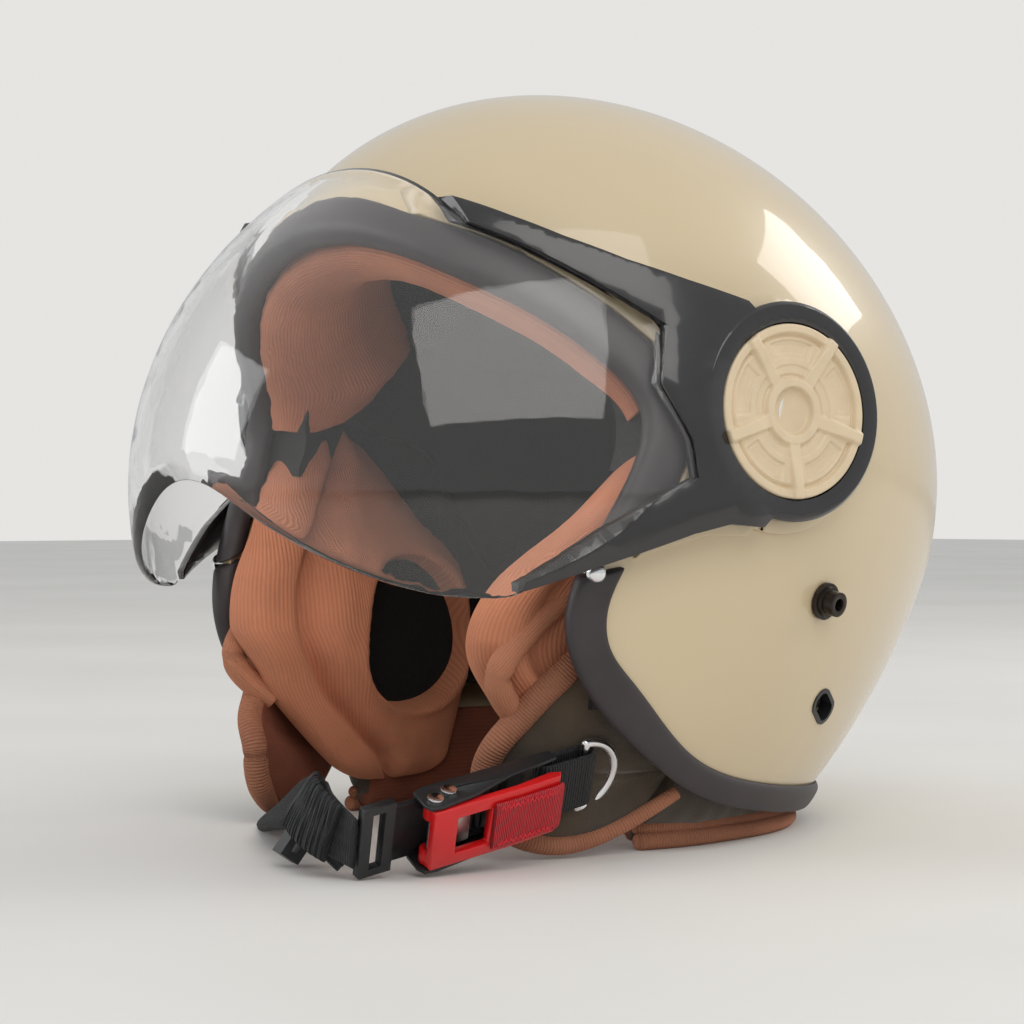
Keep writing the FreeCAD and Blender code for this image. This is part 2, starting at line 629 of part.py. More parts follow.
def make_buckle():
    half = BUCKLE_WIDTH / 2
    outline = [(-5.0, 1.0), (-4.0, -6.5), (0.0, -8.0), (BUCKLE_LENGTH + 6, -8.0),
               (BUCKLE_LENGTH + 6, -3.5), (30.0, -1.0), (14.0, 3.2), (0.0, 4.6), (-4.0, 4.0)]
    cheek = level_plate(outline, half, half + CHEEK_SHEET)
    frame = cheek.fuse(level_plate(outline, -half - CHEEK_SHEET, -half))
    floor = Part.makeBox(BUCKLE_LENGTH - 4.0, CHEEK_SHEET, 2 * half, Vector(0, -8.0, -half))
    tail_bar = cross_bore(TAIL_BAR_X, BAR_Y, TAIL_BAR_RADIUS, half)
    frame = frame.fuse(floor).fuse(tail_bar)
    frame = frame.cut(cross_bore(0, 0, LEVER_PIN_RADIUS + 0.01, half + 5))
    frame = frame.cut(cross_bore(PAWL_X, PAWL_Y, LEVER_PIN_RADIUS + 0.01, half + 5))
    keep("buckle_frame", in_buckle(frame.removeSplitter()))
    for name, x, y in (("lever_pin", 0.0, 0.0), ("pawl_pin", PAWL_X, PAWL_Y)):
        pin = cross_bore(x, y, LEVER_PIN_RADIUS, half + CHEEK_SHEET)
        for side in (1, -1):
            head = Part.makeCylinder(2.6, 0.8, Vector(x, y, side * (half + CHEEK_SHEET)),
                                     Vector(0, 0, side))
            pin = pin.fuse(head)
        keep(name, in_buckle(pin))
    lever_half = half - LEVER_SIDE_GAP
    lever = level_plate([(-3.0, 2.2), (0.0, 2.2), (30.0, 2.2), (LEVER_LENGTH - 4, 0.6),
                         (LEVER_LENGTH, 2.0), (LEVER_LENGTH - 2, 4.4), (30.0, 5.2), (-3.0, 5.2)],
                        -lever_half, lever_half)
    for side in (1, -1):
        ear = cross_bore(0, 0, 3.4, lever_half).common(
            Part.makeBox(20, 20, 5.0, Vector(-10, -10, lever_half - 5 if side > 0 else -lever_half)))
        web = Part.makeBox(6.0, 4.0, 5.0, Vector(-3.0, 0, lever_half - 5 if side > 0 else -lever_half))
        lever = lever.fuse(ear).fuse(web)
    lever = lever.cut(cross_bore(0, 0, LEVER_PIN_RADIUS + PIN_CLEARANCE, half))
    window = Part.makeBox(13.0, 20.0, 13.0, Vector(6.0, -10.0, -6.5))
    lever = biggest(lever.cut(window).removeSplitter())
    keep("buckle_lever", in_buckle(lever))
    tab = Part.makeBox(LEVER_LENGTH - 21.0, 1.4, 17.0, Vector(19.5, 5.25, -8.5))
    keep("pull_tab", in_buckle(tab))
    pawl = cross_bore(PAWL_X, PAWL_Y, 1.95, half - 3.5)
    nose = level_plate([(PAWL_X - 1.0, PAWL_Y + 2.4), (PAWL_X + 9.0, PAWL_Y + 1.2),
                        (PAWL_X + 9.0, PAWL_Y - 1.5), (PAWL_X + 3.0, PAWL_Y - 0.8),
                        (PAWL_X - 1.0, PAWL_Y - 1.5)], -half + 3.5, half - 3.5)
    pawl = pawl.fuse(nose).cut(cross_bore(PAWL_X, PAWL_Y, LEVER_PIN_RADIUS + PIN_CLEARANCE, half))
    keep("pawl", in_buckle(biggest(pawl.removeSplitter())))
    make_tongue()


def make_tongue():
    """Toothed tongue that slides into the buckle, with the slot that holds the webbing."""
    half = BUCKLE_WIDTH / 2 - 1.0
    base = -8.0 + CHEEK_SHEET + 0.2
    top = base + TONGUE_THICKNESS
    strip = Part.makeBox(TONGUE_REACH + 12.0, TONGUE_THICKNESS, 2 * half, Vector(-12.0, base, -half))
    teeth = int((TONGUE_REACH - 4.0) / TOOTH_PITCH)
    for number in range(teeth):
        x = 3.0 + number * TOOTH_PITCH
        strip = strip.cut(level_plate([(x, top + 0.1), (x + 1.8, top + 0.1), (x + 1.8, top - 0.8)],
                                      -half + 3.0, half - 3.0))
    loop = Part.makeBox(12.0, TONGUE_THICKNESS + 1.2, 2 * half + 5.0, Vector(-24.0, base, -half - 2.5))
    slot = Part.makeBox(4.6, 10.0, 2 * half, Vector(-20.5, base - 3.0, -half))
    keep("ratchet_tongue", in_buckle(biggest(strip.fuse(loop).cut(slot).removeSplitter())))


def ribbon(stations, width, thickness):
    """Flat webbing through (centre, run, width way) stations, as one ruled solid."""
    sections = []
    for centre, run, way in stations:
        way = Vector(way)
        way.normalize()
        flat = Vector(run).cross(way)
        flat.normalize()
        corners = [centre + way * (a * width / 2) + flat * (b * thickness / 2)
                   for a, b in ((1, 1), (1, -1), (-1, -1), (-1, 1))]
        sections.append(Part.makePolygon(corners + corners[:1]))
    return Part.makeLoft(sections, True, True)


def stadium(x_from, x_to, radius, half_width):
    """A long round-ended block across the buckle, between two bars."""
    block = cross_bore(x_from, BAR_Y, radius, half_width)
    block = block.fuse(cross_bore(x_to, BAR_Y, radius, half_width))
    middle = Part.makeBox(x_to - x_from, 2 * radius, 2 * half_width,
                          Vector(x_from, BAR_Y - radius, -half_width))
    return block.fuse(middle).removeSplitter()


def strap_anchor_frame():
    y, z = STRAP_ANCHOR
    normal = shell_normal(y, z)
    return Vector(shell_x(y, z), y, z) - normal * SHELL_WALL, normal


def make_d_ring():
    """Bent wire D: a straight bar with a half-round bow, hung in the webbing loop."""
    half = RING_WIDTH / 2
    bar = cross_bore(0, 0, RING_WIRE_RADIUS, half)
    corner = Vector(0, 0, half)
    bow_edge = Part.Arc(corner, Vector(RING_DEPTH, 0, 0), Vector(0, 0, -half)).toShape()
    tangent = bow_edge.tangentAt(bow_edge.FirstParameter)
    section = Part.Wire(Part.makeCircle(RING_WIRE_RADIUS, corner, tangent))
    bow = Part.Wire(bow_edge).makePipeShell([section], True, True)
    ring = bar.fuse(bow)
    for end in (half, -half):
        ring = ring.fuse(Part.makeSphere(RING_WIRE_RADIUS, Vector(0, 0, end)))
    ring.rotate(Vector(0, 0, 0), Vector(0, 0, 1), RING_TILT_DEG)
    ring.translate(Vector(RING_BAR_X, BAR_Y, 0))
    return ring


def make_straps():
    half = BUCKLE_WIDTH / 2
    keep("d_ring", in_buckle(biggest(make_d_ring())))
    web_half = half - 0.8
    hole = TAIL_BAR_RADIUS + LOOP_CLEARANCE
    loop = stadium(TAIL_BAR_X, RING_BAR_X, hole + WEBBING_THICKNESS, web_half)
    loop = loop.cut(stadium(TAIL_BAR_X, RING_BAR_X, hole, half + 5))
    lap = Part.makeBox(9.0, 3.0, 2 * web_half, Vector(53.0, BAR_Y - 6.4, -web_half))
    loop = in_buckle(loop.fuse(lap))
    lap_space = in_buckle(Part.makeBox(10.0, 5.0, 2 * web_half + 1.0,
                                       Vector(52.5, BAR_Y - 7.0, -web_half - 0.5)))
    for name in ("neck_curtain_left", "curtain_piping_left"):
        PIECES[name] = biggest(PIECES[name].cut(lap_space))
    anchor, normal = strap_anchor_frame()
    top = anchor - normal * 6.3
    foot = Vector(76.4, -83.0, 27.0)
    way = Vector(0, 0.86, -0.51)
    run = top - foot
    riser = ribbon([(foot, run, way), (top, run, way)], WEBBING_WIDTH, WEBBING_THICKNESS)
    plate = Part.makeCylinder(8.0, 2.0, anchor - normal * 6.0, normal)
    rivet = Part.makeCylinder(3.0, 4.0, anchor - normal * 4.2, normal)
    keep_pair("strap_anchor", plate.fuse(rivet).removeSplitter())
    plate_space = Part.makeCylinder(8.2, 2.4, anchor - normal * 6.2, normal)
    keep("strap_left", biggest(riser.cut(plate_space).fuse(loop).removeSplitter()))
    right_foot = Vector(77.0, -90.0, 13.0)
    right_run = top - right_foot
    right_riser = ribbon([(right_foot, right_run, way), (top, right_run, way)],
                         WEBBING_WIDTH - 4, WEBBING_THICKNESS)
    keep("strap_right", mirrored(biggest(right_riser.cut(plate_space))))
    margin = 0.5
    for side, solid in (("left", riser), ("right", mirrored(right_riser))):
        sign = 1 if side == "left" else -1
        start = Vector(foot if side == "left" else right_foot)
        slot = ribbon([(start, top - start, way), (top + (top - start) * 0.06, top - start, way)],
                      WEBBING_WIDTH + 2 * margin, WEBBING_THICKNESS + 2 * margin)
        slot = slot.fuse(Part.makeCylinder(9.5, 12.0, anchor - normal * 10.0, normal))
        if sign < 0:
            slot = mirrored(slot)
        for name in ("cheek_pad_", "cheek_plate_"):
            PIECES[name + side] = biggest(PIECES[name + side].cut(slot))
    make_chin_strap()


def make_chin_strap():
    """Webbing across the chin, from the right-hand riser to the tongue's slot."""
    place = buckle_placement()
    tongue_end = place.multVec(Vector(-24.0 - 1.3, -5.2, 0))
    tongue_way = place.Rotation.multVec(Vector(0, 0, 1))
    tongue_run = place.Rotation.multVec(Vector(1, 0, 0))
    stations = [
        (Vector(-80.6, -88.0, 16.0), Vector(0.0, -1.0, 0.0), Vector(-0.38, 0.0, 1.0)),
        (Vector(-79.0, -103.0, 15.0), Vector(0.3, -1.0, 0.0), Vector(0.2, 0.1, 1.0)),
        (Vector(-62.0, -113.0, 13.0), Vector(1.0, -0.55, 0.0), Vector(0.30, 0.45, 0.65)),
        (Vector(-15.0, -137.0, 12.5), Vector(1.0, -0.5, 0.0), Vector(0.3, 0.6, 0.55)),
        (Vector(30.0, -157.0, 13.0), Vector(1.0, -0.4, 0.0), Vector(0.25, 0.5, 0.8)),
        (Vector(56.0, -170.0, 12.5), Vector(1.0, -0.3, 0.0), Vector(0.3, 0.1, 1.0)),
        (tongue_end, tongue_run, tongue_way * -1)]
    strap = ribbon(stations, WEBBING_WIDTH - 4, WEBBING_THICKNESS)
    keep("chin_strap", strap)
    sleeve = ribbon(stations[2:4], WEBBING_WIDTH, WEBBING_THICKNESS + 4)
    sleeve = sleeve.cut(ribbon(stations[1:5], WEBBING_WIDTH - 3.4, WEBBING_THICKNESS + 0.6))
    keep("strap_pad", biggest(sleeve))
    centre, run, way = stations[4]
    run.normalize()
    ends = [(centre + run * -5.0, run, way), (centre + run * 5.0, run, way)]
    keeper = ribbon(ends, WEBBING_WIDTH + 2, WEBBING_THICKNESS + 5)
    keeper = keeper.cut(ribbon(stations[3:6], WEBBING_WIDTH - 3.4, WEBBING_THICKNESS + 0.6))
    keep("strap_keeper", biggest(keeper))


def export_all():
    box = FreeCAD.BoundBox()
    for shape in PIECES.values():
        box.add(shape.optimalBoundingBox(False, False))
    shift = Vector(0, -box.Center.y, -box.ZMin)
    for name, shape in PIECES.items():
        moved = shape.copy()
        moved.translate(shift)
        moved.exportStep("parts/" + name + ".step")


make_shell_group()
make_visor_group()
make_side_fittings()
make_padding()
make_neck_group()
make_buckle()
make_straps()
export_all()
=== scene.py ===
"""Visual model of an open face motorcycle helmet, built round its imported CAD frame.

Shapes are laid out in millimetres in the helmet's own frame, whose mid-plane is x = 0,
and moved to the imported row's frame in metres by row().
"""
import json
import math
import bmesh
import bpy
import numpy as np
from mathutils import Matrix, Vector

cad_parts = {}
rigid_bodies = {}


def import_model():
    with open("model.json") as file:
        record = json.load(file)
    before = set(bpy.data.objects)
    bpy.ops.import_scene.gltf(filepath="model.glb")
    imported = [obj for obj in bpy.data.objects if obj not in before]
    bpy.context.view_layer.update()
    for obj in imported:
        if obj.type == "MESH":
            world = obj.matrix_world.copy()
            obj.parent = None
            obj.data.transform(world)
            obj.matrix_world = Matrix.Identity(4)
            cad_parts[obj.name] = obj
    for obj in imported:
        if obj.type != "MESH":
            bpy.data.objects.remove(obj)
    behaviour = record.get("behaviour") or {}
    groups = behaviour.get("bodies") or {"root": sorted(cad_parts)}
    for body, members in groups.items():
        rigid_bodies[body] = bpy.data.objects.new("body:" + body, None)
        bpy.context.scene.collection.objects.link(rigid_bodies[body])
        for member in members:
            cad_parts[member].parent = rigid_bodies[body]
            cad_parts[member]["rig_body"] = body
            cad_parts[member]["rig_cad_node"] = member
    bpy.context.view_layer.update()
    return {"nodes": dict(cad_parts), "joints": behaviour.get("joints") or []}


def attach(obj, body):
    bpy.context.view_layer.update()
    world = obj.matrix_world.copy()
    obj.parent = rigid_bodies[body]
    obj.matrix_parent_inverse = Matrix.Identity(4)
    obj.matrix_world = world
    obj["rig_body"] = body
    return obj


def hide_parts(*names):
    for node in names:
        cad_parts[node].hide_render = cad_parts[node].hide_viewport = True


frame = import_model()
MM = 0.001

# ------------------------------------------------------------- the shell's form, as in the CAD
PIVOT = (-28.2, 147.2)
SHELL_HALF = np.array([122.0, 145.4, 120.1])
SKIRT_DEPTH = 202.0
LEAN = math.radians(-31.0)
SHELL_CENTRE = np.array([0.0, 0.8, 138.6])
OPENING_FACE = [(-128.0, 206.0), (-121.5, 196.5), (-105.0, 180.3), (-88.0, 163.0),
                (-78.3, 146.0), (-80.0, 135.0), (-92.0, 110.0), (-99.5, 94.0)]
OPENING_LOWER = [(-99.5, 94.0), (-102.0, 81.0), (-99.5, 68.0), (-90.0, 52.5), (-75.0, 39.0),
                 (-44.5, 21.0), (-10.0, 12.5), (27.0, 8.0), (62.0, 6.6), (120.0, 8.0)]
PAINT_FACE = [(-119.6, 220.0), (-117.0, 212.0), (-111.0, 206.5), (-91.0, 188.0),
              (-71.0, 167.0), (-62.0, 148.0), (-65.5, 130.0), (-80.0, 103.0)]
PAINT_LOWER = [(-84.0, 98.0), (-89.0, 84.0), (-87.5, 72.0), (-78.0, 60.0), (-50.5, 35.0),
               (-10.0, 22.0), (31.0, 17.0), (62.0, 15.0), (120.0, 17.0)]


def joint(name):
    return next(j for j in frame["joints"] if j["name"] == name)


pivot_m = joint("visor_hinge")["pos_m"]
SHIFT = np.array([0.0, pivot_m[1] / MM - PIVOT[0], pivot_m[2] / MM - PIVOT[1]])


def row(points):
    """Helmet millimetres to row metres."""
    return (np.asarray(points, float) + SHIFT) * MM


def lean(points, angle):
    """Points turned about X by an angle."""
    p = np.asarray(points, float)
    y = p[..., 1] * math.cos(angle) - p[..., 2] * math.sin(angle)
    z = p[..., 1] * math.sin(angle) + p[..., 2] * math.cos(angle)
    return np.stack([p[..., 0], y, z], -1)


def half_axes(local, offset):
    grown = np.broadcast_to(SHELL_HALF + offset, local.shape).copy()
    grown[..., 2] += np.where(local[..., 2] > 0, 0.0, SKIRT_DEPTH - SHELL_HALF[2])
    return grown


def on_shell(points, offset):
    """Points moved in or out to the layer at an offset from the paint."""
    local = lean(np.asarray(points, float) - SHELL_CENTRE, -LEAN)
    offset = np.asarray(offset, float)[..., None] if np.ndim(offset) else offset
    scale = 1.0 / np.linalg.norm(local / half_axes(local, offset), axis=-1)
    return lean(local * scale[..., None], LEAN) + SHELL_CENTRE


def shell_x(y, z, offset=0.0):
    """Half width of the shell's layer at a side-view place, and 0 outside its outline."""
    local = lean(np.stack([np.zeros_like(y), y, z], -1) - SHELL_CENTRE, -LEAN)
    axes = half_axes(local, offset)
    rest = 1.0 - (local[..., 1] / axes[..., 1]) ** 2 - (local[..., 2] / axes[..., 2]) ** 2
    return axes[..., 0] * np.sqrt(np.maximum(rest, 0.0))


# ------------------------------------------------------------- lines
def even(points, count):
    """Evenly spaced points along a fine polyline."""
    points = np.asarray(points, float)
    steps = np.linalg.norm(np.diff(points, axis=0), axis=1)
    along = np.concatenate([[0.0], np.cumsum(steps)])
    wanted = np.linspace(0.0, along[-1], count)
    return np.stack([np.interp(wanted, along, points[:, k]) for k in range(points.shape[1])], -1)


def smooth_line(points, count=400):
    """A smooth curve through points, by a natural cubic spline on chord length."""
    pts = np.asarray(points, float)
    chord = np.concatenate([[0.0], np.cumsum(np.linalg.norm(np.diff(pts, axis=0), axis=1))])
    n = len(pts)
    step = np.diff(chord)
    system = np.eye(n)
    right = np.zeros_like(pts)
    for i in range(1, n - 1):
        system[i, i - 1] = step[i - 1]
        system[i, i] = 2 * (step[i - 1] + step[i])
        system[i, i + 1] = step[i]
        right[i] = 6 * ((pts[i + 1] - pts[i]) / step[i] - (pts[i] - pts[i - 1]) / step[i - 1])
    bend = np.linalg.solve(system, right)
    t = np.linspace(0.0, chord[-1], count)
    k = np.clip(np.searchsorted(chord, t) - 1, 0, n - 2)
    a = (chord[k + 1] - t)[:, None]
    b = (t - chord[k])[:, None]
    h = step[k][:, None]
    return (bend[k] * a ** 3 / (6 * h) + bend[k + 1] * b ** 3 / (6 * h)
            + (pts[k] / h - bend[k] * h / 6) * a + (pts[k + 1] / h - bend[k + 1] * h / 6) * b)


def shell_edge(outline, count, offset=0.0):
    """A side-view line laid on the left half of the shell, from the mid-plane if it crosses it."""
    flat = smooth_line(outline, 4000)
    x = shell_x(flat[:, 0], flat[:, 1], offset)
    inside = np.nonzero(x > 0)[0]
    solid = np.stack([x, flat[:, 0], flat[:, 1]], -1)[inside[0]:inside[-1] + 1]
    return even(solid, count)


def mirror_line(points):
    return np.asarray(points) * np.array([-1.0, 1.0, 1.0])


def both_sides(half):
    """A line from the mid-plane outwards, joined to its mirror image."""
    return np.concatenate([mirror_line(half)[:0:-1], half])


# ------------------------------------------------------------- meshes
def new_piece(name, vertices, faces, body):
    """A mesh piece that rides on a body. Vertices are in helmet millimetres."""
    mesh = bpy.data.meshes.new(name)
    mesh.from_pydata([tuple(v) for v in row(vertices)], [], faces)
    mesh.validate()
    mesh.update()
    piece = bpy.data.objects.new(name, mesh)
    bpy.context.scene.collection.objects.link(piece)
    mesh.shade_smooth()
    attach(piece, body)
    return piece


def grid_faces(rows, columns):
    """Quads between neighbouring rings, each of which closes on itself."""
    faces = []
    for i in range(rows - 1):
        for j in range(columns):
            after = (j + 1) % columns
            faces.append((i * columns + j, i * columns + after,
                          (i + 1) * columns + after, (i + 1) * columns + j))
    return faces


def set_grid_uv(piece, columns, u_size, v_size):
    """UVs in metres: v along the rows, u round the ring, carried on past its end at the seam."""
    uv = piece.data.uv_layers.new(name="cloth")
    around = u_size[-1]
    for polygon in piece.data.polygons:
        places = [divmod(vertex, columns) for vertex in polygon.vertices]
        spots = [[u_size[j], v_size[i]] for i, j in places]
        high = max(s[0] for s in spots)
        for s in spots:
            if high - s[0] > around / 2:
                s[0] += around
        for loop, spot in zip(polygon.loop_indices, spots):
            uv.data[loop].uv = spot


def swept(name, rings, body, capped=True):
    """A mesh through rings[station][section point], with UVs in metres along and across."""
    rings = np.asarray(rings, float)
    stations, columns = rings.shape[:2]
    faces = grid_faces(stations, columns)
    if capped:
        faces.append(tuple(range(columns)))
        faces.append(tuple(range((stations - 1) * columns, stations * columns))[::-1])
    piece = new_piece(name, rings.reshape(-1, 3), faces, body)
    along = np.linalg.norm(np.diff(rings, axis=0), axis=2).mean(1)
    v = np.concatenate([[0.0], np.cumsum(along)]) * MM
    across = np.linalg.norm(np.diff(rings, axis=1), axis=2).mean(0)
    u = np.concatenate([[0.0], np.cumsum(across)]) * MM
    set_grid_uv(piece, columns, u, v)
    make_outward(piece)
    return piece


def make_outward(piece):
    """Face normals outward, judged by the closed mesh's signed volume."""
    bm = bmesh.new()
    bm.from_mesh(piece.data)
    bmesh.ops.recalc_face_normals(bm, faces=bm.faces)
    if bm.calc_volume(signed=True) < 0:
        bmesh.ops.reverse_faces(bm, faces=bm.faces)
    bm.to_mesh(piece.data)
    bm.free()


def sides_along(path, up):
    """Side and over directions at each point of a path."""
    path = np.asarray(path, float)
    tangent = np.gradient(path, axis=0)
    tangent /= np.linalg.norm(tangent, axis=1)[:, None]
    up = np.broadcast_to(np.asarray(up, float), path.shape)
    side = np.cross(tangent, up)
    side /= np.linalg.norm(side, axis=1)[:, None]
    return side, np.cross(side, tangent)


def tube(name, path, radius, body, sides=16, up=(0, 0, 1)):
    """A round tube; radius may vary from point to point."""
    side, over = sides_along(path, up)
    radius = np.broadcast_to(np.asarray(radius, float), (len(path),))
    turn = np.linspace(0, 2 * math.pi, sides, endpoint=False)
    ring = (side[:, None] * np.cos(turn)[None, :, None]
            + over[:, None] * np.sin(turn)[None, :, None])
    return swept(name, np.asarray(path)[:, None] + ring * radius[:, None, None], body)


def subdivide(piece):
    modifier = piece.modifiers.new("smooth_form", "SUBSURF")
    modifier.levels = 1
    modifier.render_levels = 1


# ------------------------------------------------------------- materials
def linear(*srgb):
    """A linear colour from 0 to 255 sRGB values."""
    return tuple(c / 255 / 12.92 if c <= 10 else ((c / 255 + 0.055) / 1.055) ** 2.4 for c in srgb)


def shader(name, roughness, **sockets):
    """A material with a Principled shader whose plain sockets are set directly."""
    material = bpy.data.materials.new(name)
    material.use_nodes = True
    principled = material.node_tree.nodes["Principled BSDF"]
    principled.inputs["Roughness"].default_value = roughness
    for socket, value in sockets.items():
        principled.inputs[socket.replace("_", " ")].default_value = value
    return material


def node(material, kind, **values):
    made = material.node_tree.nodes.new(kind)
    for key, value in values.items():
        if hasattr(made, key):
            setattr(made, key, value)
        else:
            made.inputs[key.replace("_", " ")].default_value = value
    return made


def link(material, source, target):
    material.node_tree.links.new(source, target)


def coordinates(material, use_uv=False):
    return node(material, "ShaderNodeTexCoord").outputs["UV" if use_uv else "Object"]


def noise(material, scale, detail=3.0, vector=None):
    made = node(material, "ShaderNodeTexNoise", Scale=scale, Detail=detail)
    link(material, vector or coordinates(material), made.inputs["Vector"])
    return made.outputs["Fac"]


def tint(material, factor, dark, light, low=0.35, high=0.65):
    """Colour between two tones, by a factor."""
    ramp = node(material, "ShaderNodeValToRGB")
    ramp.color_ramp.elements[0].position = low
    ramp.color_ramp.elements[1].position = high
    ramp.color_ramp.elements[0].color = (*dark, 1)
    ramp.color_ramp.elements[1].color = (*light, 1)
    link(material, factor, ramp.inputs["Fac"])
    return ramp.outputs["Color"]


def set_color(material, output):
    link(material, output, material.node_tree.nodes["Principled BSDF"].inputs["Base Color"])


def bump(material, height, distance, strength=1.0, under=None):
    made = node(material, "ShaderNodeBump", Strength=strength, Distance=distance)
    link(material, height, made.inputs["Height"])
    if under is not None:
        link(material, under, made.inputs["Normal"])
    return made.outputs["Normal"]


def set_normal(material, output):
    link(material, output, material.node_tree.nodes["Principled BSDF"].inputs["Normal"])


def plain_surface(name, color, roughness, spread=0.12, scale=60.0, grain=900.0, depth=0.00004,
                  **sockets):
    """A hard surface: a colour that drifts a little and a fine grain."""
    material = shader(name, roughness, **sockets)
    dark = tuple(c * (1 - spread) for c in color)
    light = tuple(min(c * (1 + spread), 1.0) for c in color)
    set_color(material, tint(material, noise(material, scale), dark, light, 0.3, 0.7))
    set_normal(material, bump(material, noise(material, grain, 2.0), depth))
    return material


def knit(name, color, rib_pitch=0.00125, across=False, depth=0.00016):
    """Brushed ribbed knit with a fuzzy nap: fine ribs along the piece, or across it."""
    material = shader(name, 0.95, Sheen_Weight=0.35, Sheen_Roughness=0.5,
                      Sheen_Tint=(*[min(1.0, c * 2.2) for c in color], 1))
    place = coordinates(material, use_uv=True)
    split = node(material, "ShaderNodeSeparateXYZ")
    link(material, place, split.inputs["Vector"])
    wobble = node(material, "ShaderNodeMath", operation="MULTIPLY_ADD")
    link(material, noise(material, 90.0, 2.0), wobble.inputs[0])
    wobble.inputs[1].default_value = rib_pitch * 0.25
    link(material, split.outputs["Y" if across else "X"], wobble.inputs[2])
    turns = node(material, "ShaderNodeMath", operation="MULTIPLY")
    link(material, wobble.outputs[0], turns.inputs[0])
    turns.inputs[1].default_value = 2 * math.pi / rib_pitch
    wave = node(material, "ShaderNodeMath", operation="SINE")
    link(material, turns.outputs[0], wave.inputs[0])
    rib = node(material, "ShaderNodeMath", operation="MULTIPLY_ADD")
    link(material, wave.outputs[0], rib.inputs[0])
    rib.inputs[1].default_value = 0.5
    rib.inputs[2].default_value = 0.5
    nap = noise(material, 2600.0, 2.0)
    ribs_bump = bump(material, rib.outputs[0], depth)
    set_normal(material, bump(material, nap, 0.00025, under=ribs_bump))
    patch = tint(material, noise(material, 28.0, 4.0), [c * 0.86 for c in color],
                 [c * 1.12 for c in color])
    # Painted shade in the rib valleys and a painted highlight on the rib crests, driven by the same
    # wave as the rib bump.
    painted_rib_shade_and_highlight = tint(material, rib.outputs[0], [0.90] * 3, [1.06] * 3, 0.1, 0.9)
    mix = node(material, "ShaderNodeMix", data_type="RGBA", blend_type="MULTIPLY")
    mix.inputs[0].default_value = 1.0
    link(material, patch, mix.inputs[6])
    link(material, painted_rib_shade_and_highlight, mix.inputs[7])
    set_color(material, mix.outputs[2])
    return material


def webbing(name, color, pitch=0.0016, roughness=0.6):
    """Woven tape: ribs across its length, with a painted highlight on each rib's crest and painted
    shade in the valleys between.
    """
    material = shader(name, roughness, Sheen_Weight=0.04)
    wave = node(material, "ShaderNodeTexWave", Scale=0.5 / pitch, Distortion=0.6,
                bands_direction="Y")
    link(material, coordinates(material, use_uv=True), wave.inputs["Vector"])
    fine = noise(material, 1500.0, 2.0)
    first = bump(material, wave.outputs["Fac"], 0.0004)
    set_normal(material, bump(material, fine, 0.0002, under=first))
    # Painted highlight on the rib crests and painted shade in the valleys, from the same wave as
    # the bump.
    set_color(material, tint(material, wave.outputs["Fac"], [c * 0.5 for c in color],
                             [min(1.0, c * 1.7) for c in color], 0.2, 0.9))
    return material


PAINT = plain_surface("cream_lacquer", linear(207, 188, 153), 0.34, 0.025, 9.0, 350.0, 0.000006,
                      Coat_Weight=0.85, Coat_Roughness=0.05)
KNOB = plain_surface("cream_plastic", linear(218, 198, 166), 0.42, 0.04, 120.0, 1600.0, 0.00002,
                     Coat_Weight=0.12, Coat_Roughness=0.3)
RUBBER = plain_surface("charcoal_rubber", linear(52, 46, 48), 0.52, 0.14, 70.0, 2400.0, 0.00003)
GLOSS_BLACK = plain_surface("gloss_black", linear(26, 24, 25), 0.22, 0.15, 60.0, 700.0, 0.000006,
                            Coat_Weight=0.7, Coat_Roughness=0.06)
SATIN_BLACK = plain_surface("satin_black", linear(30, 31, 33), 0.42, 0.18, 150.0, 1500.0, 0.00002)
FOAM = plain_surface("bead_foam", linear(34, 33, 32), 0.9, 0.3, 260.0, 420.0, 0.0003)
CHROME = plain_surface("polished_steel", linear(236, 236, 238), 0.2, 0.05, 200.0, 900.0, 0.00001,
                       Metallic=1.0)
STEEL = plain_surface("plated_steel", linear(196, 194, 190), 0.32, 0.08, 300.0, 1500.0, 0.00002,
                      Metallic=1.0)
STUD = plain_surface("dark_snap_metal", linear(58, 52, 47), 0.3, 0.25, 300.0, 1200.0, 0.00003,
                     Metallic=0.85)
BUSH = plain_surface("acetal", linear(225, 222, 212), 0.5, 0.04, 100.0)
RED = plain_surface("red_plastic", linear(206, 18, 22), 0.34, 0.06, 80.0, 900.0, 0.00001,
                    Coat_Weight=0.3, Coat_Roughness=0.15)
TERRACOTTA = linear(193, 124, 92)
KNIT = knit("terracotta_knit", TERRACOTTA)
BROW_KNIT = knit("terracotta_knit_across", TERRACOTTA)
EDGE_KNIT = knit("terracotta_edge", linear(182, 120, 90), rib_pitch=0.001)
INNER_KNIT = knit("dark_brown_panel", linear(116, 64, 44), rib_pitch=0.0016, depth=0.00012)
# The crown knit is coloured near-black, as dark as the deep inside of the helmet.
CROWN_KNIT = knit("near_black_crown_knit", linear(26, 24, 23), rib_pitch=0.0016, depth=0.0002)
PIPING = knit("brown_piping", linear(158, 104, 78), rib_pitch=0.0011, across=True, depth=0.0003)
MESH_BLACK = plain_surface("black_mesh", linear(14, 13, 13), 0.95, 0.4, 500.0, 900.0, 0.0004)
WEB = webbing("black_webbing", linear(15, 17, 21))
WEB_RED = webbing("red_tape", linear(186, 12, 30), pitch=0.0011)
PAD_CLOTH = webbing("strap_sleeve_cloth", linear(13, 14, 17), pitch=0.0009, roughness=0.8)
STITCH_RED = plain_surface("red_thread", linear(214, 40, 52), 0.6, 0.2, 400.0)


